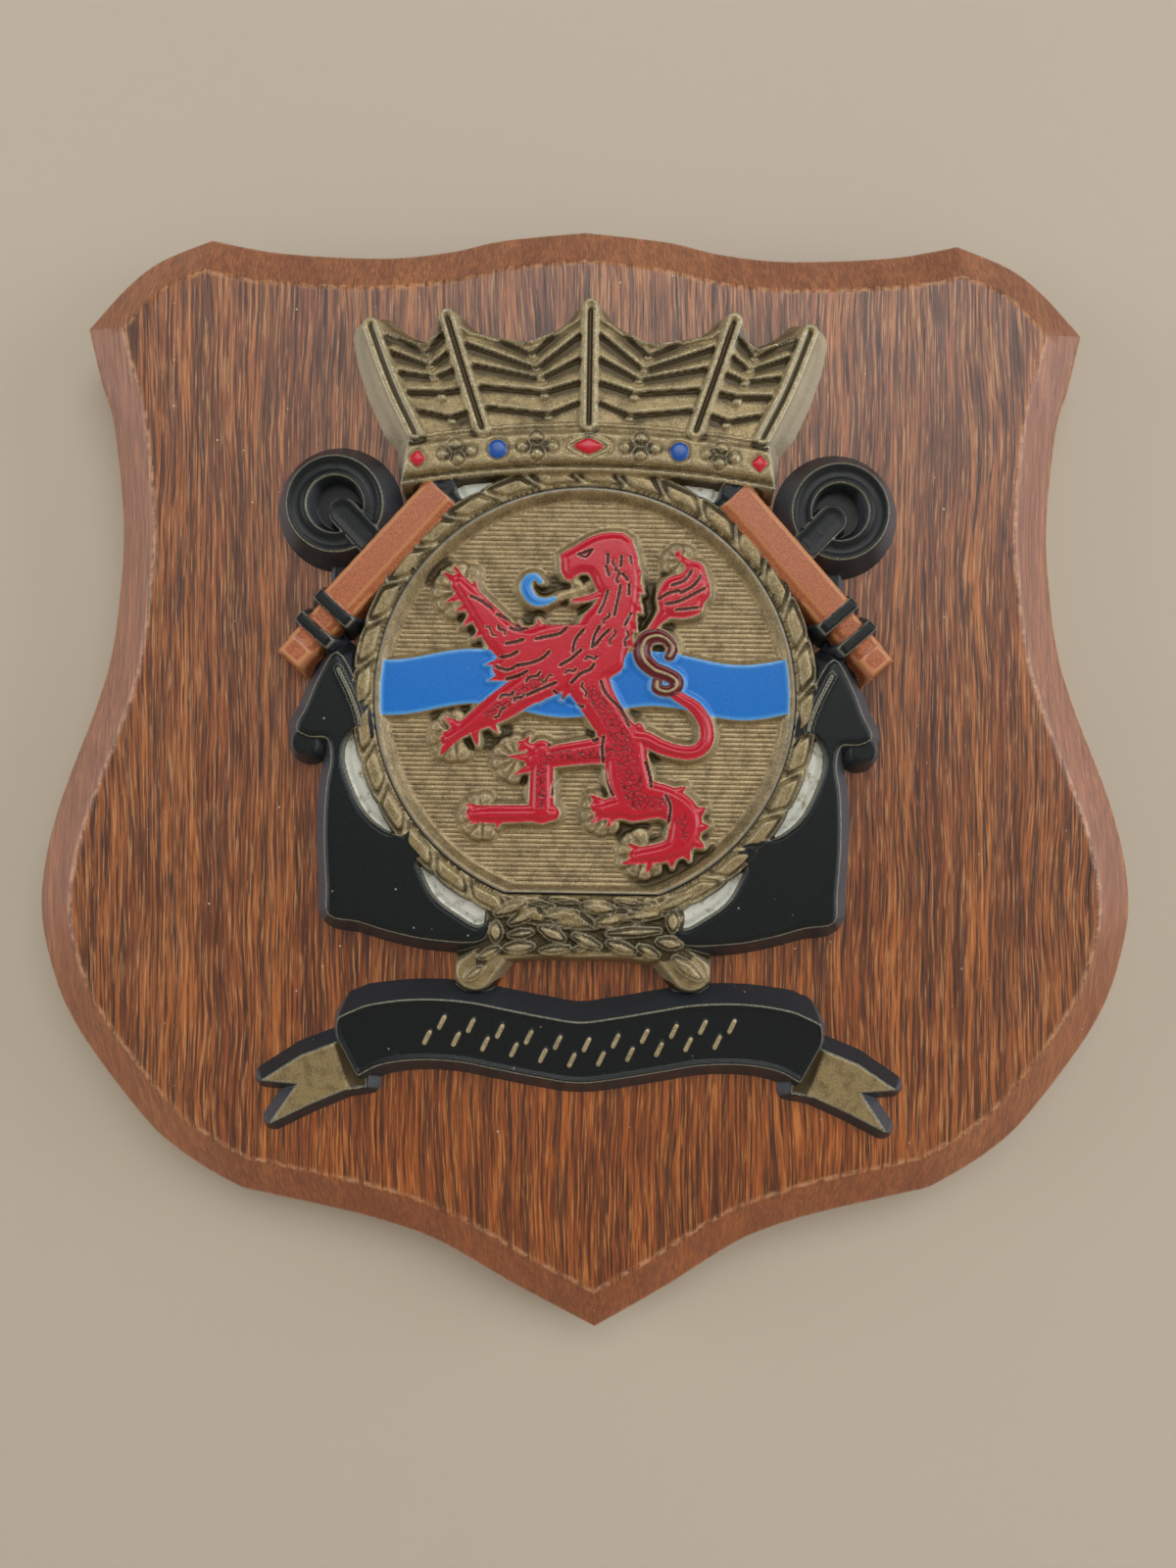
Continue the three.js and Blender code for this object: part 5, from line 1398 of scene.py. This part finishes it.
metal = {
    "gold": colour(150, 132, 92),
    "wash": colour(66, 54, 28),
    "rubbed": colour(206, 200, 172),
    "badgeGold": colour(160, 140, 102),
    "glareCream": colour(206, 204, 182),
    "black": colour(5, 10, 12),
    "blackWorn": colour(20, 30, 34),
    "blackShade": colour(3, 5, 6),
    "sheen": colour(92, 98, 108),
    "stock": colour(184, 110, 68),
    "stockDark": colour(146, 76, 44),
    "stockHighlight": colour(206, 150, 104),
    "white": colour(232, 236, 228),
    "whiteStain": colour(164, 158, 130),
    "stone": colour(10, 76, 158),
    "red": colour(188, 18, 42),
    "curl": colour(92, 10, 20),
    "blue": colour(8, 112, 204),
    "line": colour(150, 148, 128),
}


def crestFinish(dust, worn):
    material, n, shader = newMaterial("crest_finish")
    where = n.place((1000, 1000, 1000))
    ridge = n.field("ridge")
    recess = n.band(n.field("recess"), 0.1, 0.9, 0.0, 0.4)
    hollow = n.math("ADD", n.band(n.field("hollow"), 0.02, 0.36), recess)
    # Painted highlight: where the surface faces left or right and is not in a hollow, it turns toward the
    # rubbed colour, as if lit from the sides
    sideways = n.band(n.facing(0), 0.4, 0.85, 0.0, 0.75)
    sideways = n.math("MULTIPLY", sideways, n.band(hollow, 0.5, 0.1))
    line = n.band(n.math("ABSOLUTE", n.field("trim")), 0.04, 0.15, 1.0, 0.0)
    edge = n.math("MAXIMUM", sideways, n.math("MULTIPLY", line, 0.5))
    edge = n.math("MAXIMUM", n.band(ridge, 0.2, 0.8, 0.0, 0.5), edge)
    gold = useGroup(n, worn, Metal=metal["gold"], Wash=metal["wash"], Rubbed=metal["rubbed"],
                    Hollow=hollow, Edge=edge)
    base, rough, grain = gold.outputs["Color"], gold.outputs["Roughness"], gold.outputs["Grain"]

    # Painted highlight: the crown's outer walls turn pale where they face outwards, as if lit from the sides
    place = n.add("ShaderNodeSeparateXYZ", None, in0=n.add("ShaderNodeTexCoord").outputs["Object"])
    flankGlare = n.band(n.math("ABSOLUTE", place.outputs[0]), *crown["glareOut"])
    flankGlare = n.math("MULTIPLY", flankGlare, n.band(place.outputs[2], *crown["glareAbove"]))
    outward = n.math("MULTIPLY", n.normal().outputs[0], n.math("SIGN", place.outputs[0]))
    flankGlare = n.math("MULTIPLY", flankGlare, n.band(outward, 0.3, 0.65, 0.0, 0.75))
    flankGlare = n.math("MULTIPLY", flankGlare, n.band(grain, 0.7, 0.35, 0.6, 1.0))
    base = n.mix(flankGlare, base, metal["glareCream"])

    def paintOver(base, rough, key, tint, gloss):
        share = n.band(n.field("paint" + key), -0.03, 0.05)
        kept = n.math("MULTIPLY", rough, n.math("SUBTRACT", 1.0, share))
        return n.mix(share, base, tint), n.math("MULTIPLY_ADD", share, gloss, kept)

    leather = n.band(grain, 0.36, 0.64)
    black = n.mix(n.math("MULTIPLY", leather, 0.7), metal["black"], metal["blackWorn"])
    # Painted shade: the black paint is darker in hollows
    black = n.mix(n.band(n.field("hollow"), 0.1, 1.0, 0.0, 0.6), black, metal["blackShade"])
    glare = n.math("MAXIMUM", n.band(n.facing(0), 0.45, 0.9), n.band(n.facing(2), 0.45, 0.9, 0.0, 0.32))
    glare = n.math("MULTIPLY", glare, n.band(grain, 0.7, 0.4, 0.4, 0.8))
    black = n.mix(glare, black, metal["sheen"])
    base, rough = paintOver(base, rough, "Black", black, 0.36)
    orange = n.mix(leather, metal["stock"], metal["stockDark"])
    # Painted highlight: the orange is paler on convex edges
    orange = n.mix(n.band(ridge, 0.1, 0.6, 0.0, 0.6), orange, metal["stockHighlight"])
    base, rough = paintOver(base, rough, "Stock", orange, 0.34)
    stained = n.band(n.noise(where, 0.8, 4.0, 0.65), 0.5, 0.72)
    base, rough = paintOver(base, rough, "White", n.mix(stained, metal["white"], metal["whiteStain"]), 0.3)
    base, rough = paintOver(base, rough, "Red", metal["red"], 0.25)
    base, rough = paintOver(base, rough, "Blue", metal["stone"], 0.25)
    onBlack = n.math("MULTIPLY", line, n.band(grain, 0.6, 0.4, 0.35, 0.9))
    onBlack = n.math("MULTIPLY", n.band(n.field("paintBlack"), -0.1, 0.1), onBlack)
    base = n.mix(onBlack, base, metal["line"])
    specks = useGroup(n, dust, Density=0.09).outputs[0]
    base = n.mix(n.math("MULTIPLY", specks, 0.6), base, colour(215, 212, 200))
    painted = n.field("paintBlack")
    for key in ("Stock", "White", "Red", "Blue"):
        painted = n.math("MAXIMUM", painted, n.field("paint" + key))
    n.feed(shader, "Base Color", base)
    n.feed(shader, "Roughness", rough)
    n.feed(shader, "Metallic", n.band(painted, -0.05, 0.05, 0.4, 0.0))
    n.feed(shader, "Specular IOR Level", n.band(n.field("paintBlack"), -0.05, 0.05, 0.5, 0.3))
    bump = n.add("ShaderNodeBump", None, Strength=0.6, Distance=0.00006, Height=grain)
    n.feed(shader, "Normal", bump.outputs[0])
    return material


def badgeFinish(dust, worn):
    material, n, shader = newMaterial("badge_finish")
    where = n.place((1000, 1000, 1000))
    ridge = n.field("ridge")
    rib = n.math("MULTIPLY", n.field("paintRib"), 0.95)
    nearRim = n.band(n.field("rimBand"), 0.6, 1.9, 0.0, 1.0)
    # Darker toward the wash colour at the rim's foot, in the rib grooves and in the coves round the lion and
    # the bar: antique wash, and in the coves partly painted shade
    foot = n.math("MULTIPLY", n.band(n.field("rimBand"), 1.75, 1.35), n.band(n.field("rimBand"), 0.2, 0.5))
    recess = n.band(n.field("recess"), 0.1, 0.9, 0.0, 0.5)
    hollow = n.math("ADD", n.band(n.field("hollow"), 0.05, 0.6, 0.0, 0.85), recess)
    hollow = n.math("MAXIMUM", n.math("MULTIPLY", hollow, nearRim), n.band(rib, 0.5, 0.95, 0.0, 0.85))
    hollow = n.math("MAXIMUM", hollow, n.math("MULTIPLY", foot, 0.3))
    # Painted highlight: where the surface faces left or right and is not in a hollow, it turns toward the
    # rubbed colour, as if lit from the sides
    sideways = n.band(n.facing(0), 0.4, 0.85, 0.0, 0.7)
    sideways = n.math("MULTIPLY", sideways, n.band(hollow, 0.5, 0.1))
    edge = n.math("MAXIMUM", n.band(ridge, 0.25, 0.8, 0.0, 0.5), sideways)
    gold = useGroup(n, worn, Metal=metal["badgeGold"], Wash=metal["wash"], Rubbed=metal["rubbed"],
                    Hollow=hollow, Edge=edge)
    base, grain = gold.outputs["Color"], gold.outputs["Grain"]
    joint = n.math("MULTIPLY", n.band(n.field("rimBand"), 0.42, 0.2), n.band(grain, 0.35, 0.6, 0.9, 0.45))
    base = n.mix(joint, base, colour(124, 132, 138))
    blueIn = n.field("paintBlue")
    redIn = n.math("MAXIMUM", n.field("paintRed"), n.field("paintCurl"))
    cells = n.add("ShaderNodeTexVoronoi", {"feature": "DISTANCE_TO_EDGE"}, Vector=where, Scale=1.25)
    pit = n.band(cells.outputs["Distance"], 0.03, 0.13, 1.0, 0.0)
    pit = n.math("MULTIPLY", pit, n.band(n.field("paintPitted"), 0.1, 0.6))
    # Paler blue near the borders of the blue: part thin enamel, part painted highlight where it runs up the
    # sloping walls round the lion and the bar
    blue = n.mix(n.band(blueIn, 0.0, 0.7), colour(84, 158, 220), metal["blue"])
    blue = n.mix(n.math("MULTIPLY", n.band(grain, 0.5, 0.7), 0.35), blue, colour(10, 44, 100))
    base = n.mix(n.band(blueIn, -0.03, 0.04), base, blue)
    # Painted glint: the red turns pink on convex edges
    red = n.mix(n.band(ridge, 0.25, 0.8, 0.0, 0.5), metal["red"], colour(206, 84, 100))
    red = n.mix(n.math("MULTIPLY", n.band(grain, 0.5, 0.68), 0.5), red, colour(110, 10, 26))
    deep = n.math("MULTIPLY", pit, n.band(n.field("paintRed"), 0.3, 0.6))
    red = n.mix(n.math("MULTIPLY", deep, 0.75), red, colour(60, 8, 16))
    base = n.mix(n.band(n.field("paintRed"), -0.03, 0.04), base, red)
    base = n.mix(n.band(n.field("paintCurl"), -0.03, 0.04), base, metal["curl"])
    onRed = n.band(redIn, 0.0, 0.1)
    etched = n.math("MULTIPLY", n.band(n.field("paintGroove"), -0.06, 0.04), onRed)
    lip = n.math("MULTIPLY", n.band(n.field("paintGroove"), -0.26, -0.08, 0.0, 0.75), onRed)
    base = n.mix(n.math("MULTIPLY", lip, n.band(grain, 0.6, 0.42)), base, colour(206, 150, 132))
    base = n.mix(n.math("MULTIPLY", etched, 0.92), base, colour(36, 16, 14))
    specks = useGroup(n, dust, Density=0.09).outputs[0]
    base = n.mix(n.math("MULTIPLY", specks, 0.55), base, colour(225, 220, 205))
    enamel = n.band(n.math("MAXIMUM", blueIn, redIn), -0.03, 0.04)
    bare = n.math("SUBTRACT", 1.0, enamel)
    n.feed(shader, "Base Color", base)
    bareRough = n.math("MULTIPLY", gold.outputs["Roughness"], bare)
    n.feed(shader, "Roughness", n.math("MULTIPLY_ADD", enamel, 0.24, bareRough))
    n.feed(shader, "Metallic", n.math("MULTIPLY", bare, 0.4))
    height = n.math("MULTIPLY_ADD", n.math("MULTIPLY", pit, -1.0), enamel, n.math("MULTIPLY", rib, -1.2))
    height = n.math("MULTIPLY_ADD", grain, 0.5, height)
    bump = n.add("ShaderNodeBump", None, Strength=0.6, Distance=0.00008, Height=height)
    n.feed(shader, "Normal", bump.outputs[0])
    return material


# Stage, lights, camera

studio = {
    "cameraAway": 168.6,   # from the front of the wood, millimetres
    "cameraX": 0.45,
    "cameraZ": -0.65,
    "lens": 27.1,
    "floorDrop": 0.30,     # metres below the middle of the board
    "wallColour": colour(192, 183, 168),
    "wallShade": colour(182, 173, 158),
    "wallGap": 0.0003,
    "skyLight": 0.24,
    "skySeen": 0.6,        # only where the studio's backdrop is looked at
}


def makeStage():
    def sheet(name, corners, material):
        mesh = bpy.data.meshes.new(name)
        mesh.from_pydata(corners, [], [(0, 1, 2, 3)])
        piece = bpy.data.objects.new(name, mesh)
        bpy.context.scene.collection.objects.link(piece)
        mesh.materials.append(material)

    def palePaint(name):
        material, n, shader = newMaterial(name)
        soft = n.noise(n.place((3, 3, 3)), 1.0, 2.0, 0.5)
        tone = n.mix(n.band(soft, 0.3, 0.7, 0.0, 0.5), studio["wallColour"], studio["wallShade"])
        n.feed(shader, "Base Color", tone)
        shader.inputs["Roughness"].default_value = 0.8
        return material, n, shader

    drop = -studio["floorDrop"]
    sheet("floor", [(-3, -3, drop), (3, -3, drop), (3, 3, drop), (-3, 3, drop)], palePaint("pale_floor")[0])

    # The wall is seen from its front only and stops no light, so views from behind show the plaque's back
    wallPaint, n, shader = palePaint("pale_wall")
    clear = n.add("ShaderNodeBsdfTransparent")
    behind = n.add("ShaderNodeNewGeometry").outputs["Backfacing"]
    choose = n.add("ShaderNodeMixShader")
    shadowRay = n.add("ShaderNodeLightPath").outputs["Is Shadow Ray"]
    n.feed(choose, "in0", n.math("MAXIMUM", behind, shadowRay))
    n.feed(choose, "in1", shader.outputs[0])
    n.feed(choose, "in2", clear.outputs[0])
    out = next(node for node in wallPaint.node_tree.nodes if node.type == "OUTPUT_MATERIAL")
    wallPaint.node_tree.links.new(choose.outputs[0], out.inputs[0])
    away = studio["wallGap"]
    sheet("wall", [(-3, away, drop), (3, away, drop), (3, away, 3), (-3, away, 3)], wallPaint)


def makeLights():
    def softbox(name, place, size, power, tint=(1, 1, 1)):
        # A lamp that faces the middle of the board
        data = bpy.data.lights.new(name, "AREA")
        data.shape = "RECTANGLE"
        data.size, data.size_y = size
        data.energy = power
        data.color = tint
        lamp = bpy.data.objects.new(name, data)
        bpy.context.scene.collection.objects.link(lamp)
        lamp.location = place
        lamp.rotation_euler = (-Vector(place)).to_track_quat("-Z", "Y").to_euler()

    softbox("left window", (-1.35, -0.42, 0.05), (0.9, 1.3), 9, (0.97, 0.98, 1.0))
    softbox("right window", (1.35, -0.42, 0.1), (0.9, 1.3), 12, (0.96, 0.97, 1.0))
    softbox("upper front", (0.25, -1.45, 0.8), (1.5, 0.9), 15, (1.0, 0.98, 0.95))
    softbox("back fill", (0.3, 1.5, 0.6), (1.4, 1.0), 12)

    world = bpy.data.worlds.new("studio")
    bpy.context.scene.world = world
    world.use_nodes = True
    sky = world.node_tree.nodes["Background"]
    sky.inputs[0].default_value = (0.86, 0.83, 0.77, 1)
    direct = world.node_tree.nodes.new("ShaderNodeLightPath")
    strength = world.node_tree.nodes.new("ShaderNodeMapRange")
    strength.inputs["To Min"].default_value = studio["skyLight"]
    strength.inputs["To Max"].default_value = studio["skySeen"]
    world.node_tree.links.new(direct.outputs["Is Camera Ray"], strength.inputs["Value"])
    world.node_tree.links.new(strength.outputs["Result"], sky.inputs[1])


def makeCamera():
    bpy.context.scene.view_settings.view_transform = "Standard"
    data = bpy.data.cameras.new("camera")
    data.sensor_fit = "VERTICAL"
    data.sensor_height = 36.0
    data.lens = studio["lens"]
    data.clip_start = 0.01
    camera = bpy.data.objects.new("camera", data)
    bpy.context.scene.collection.objects.link(camera)
    camera.location = (studio["cameraX"] / 1000, -(plaque["thickness"] + studio["cameraAway"]) / 1000,
                       studio["cameraZ"] / 1000)
    camera.rotation_euler = (math.pi / 2, 0, 0)
    bpy.context.scene.camera = camera


# Put together

makeCamera()
makeStage()
makeLights()
print("stage, lights and camera ready")

dust = dustGroup()
worn = wornMetalGroup()

boardPiece = makeBoard()
boardPiece.data.materials.append(mahogany(dust))
print("board made")
crest = makeCasting()
crest.data.materials.append(crestFinish(dust, worn))
print("crest made")
badgePiece = makeBadge()
badgePiece.data.materials.append(badgeFinish(dust, worn))
print("badge made")

for piece, node, slot in ((boardPiece, "shield_board", "board"), (crest, "crest_casting", "casting"),
                          (badgePiece, "badge_roundel", "badge")):
    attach(piece, "root")
    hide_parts(node)
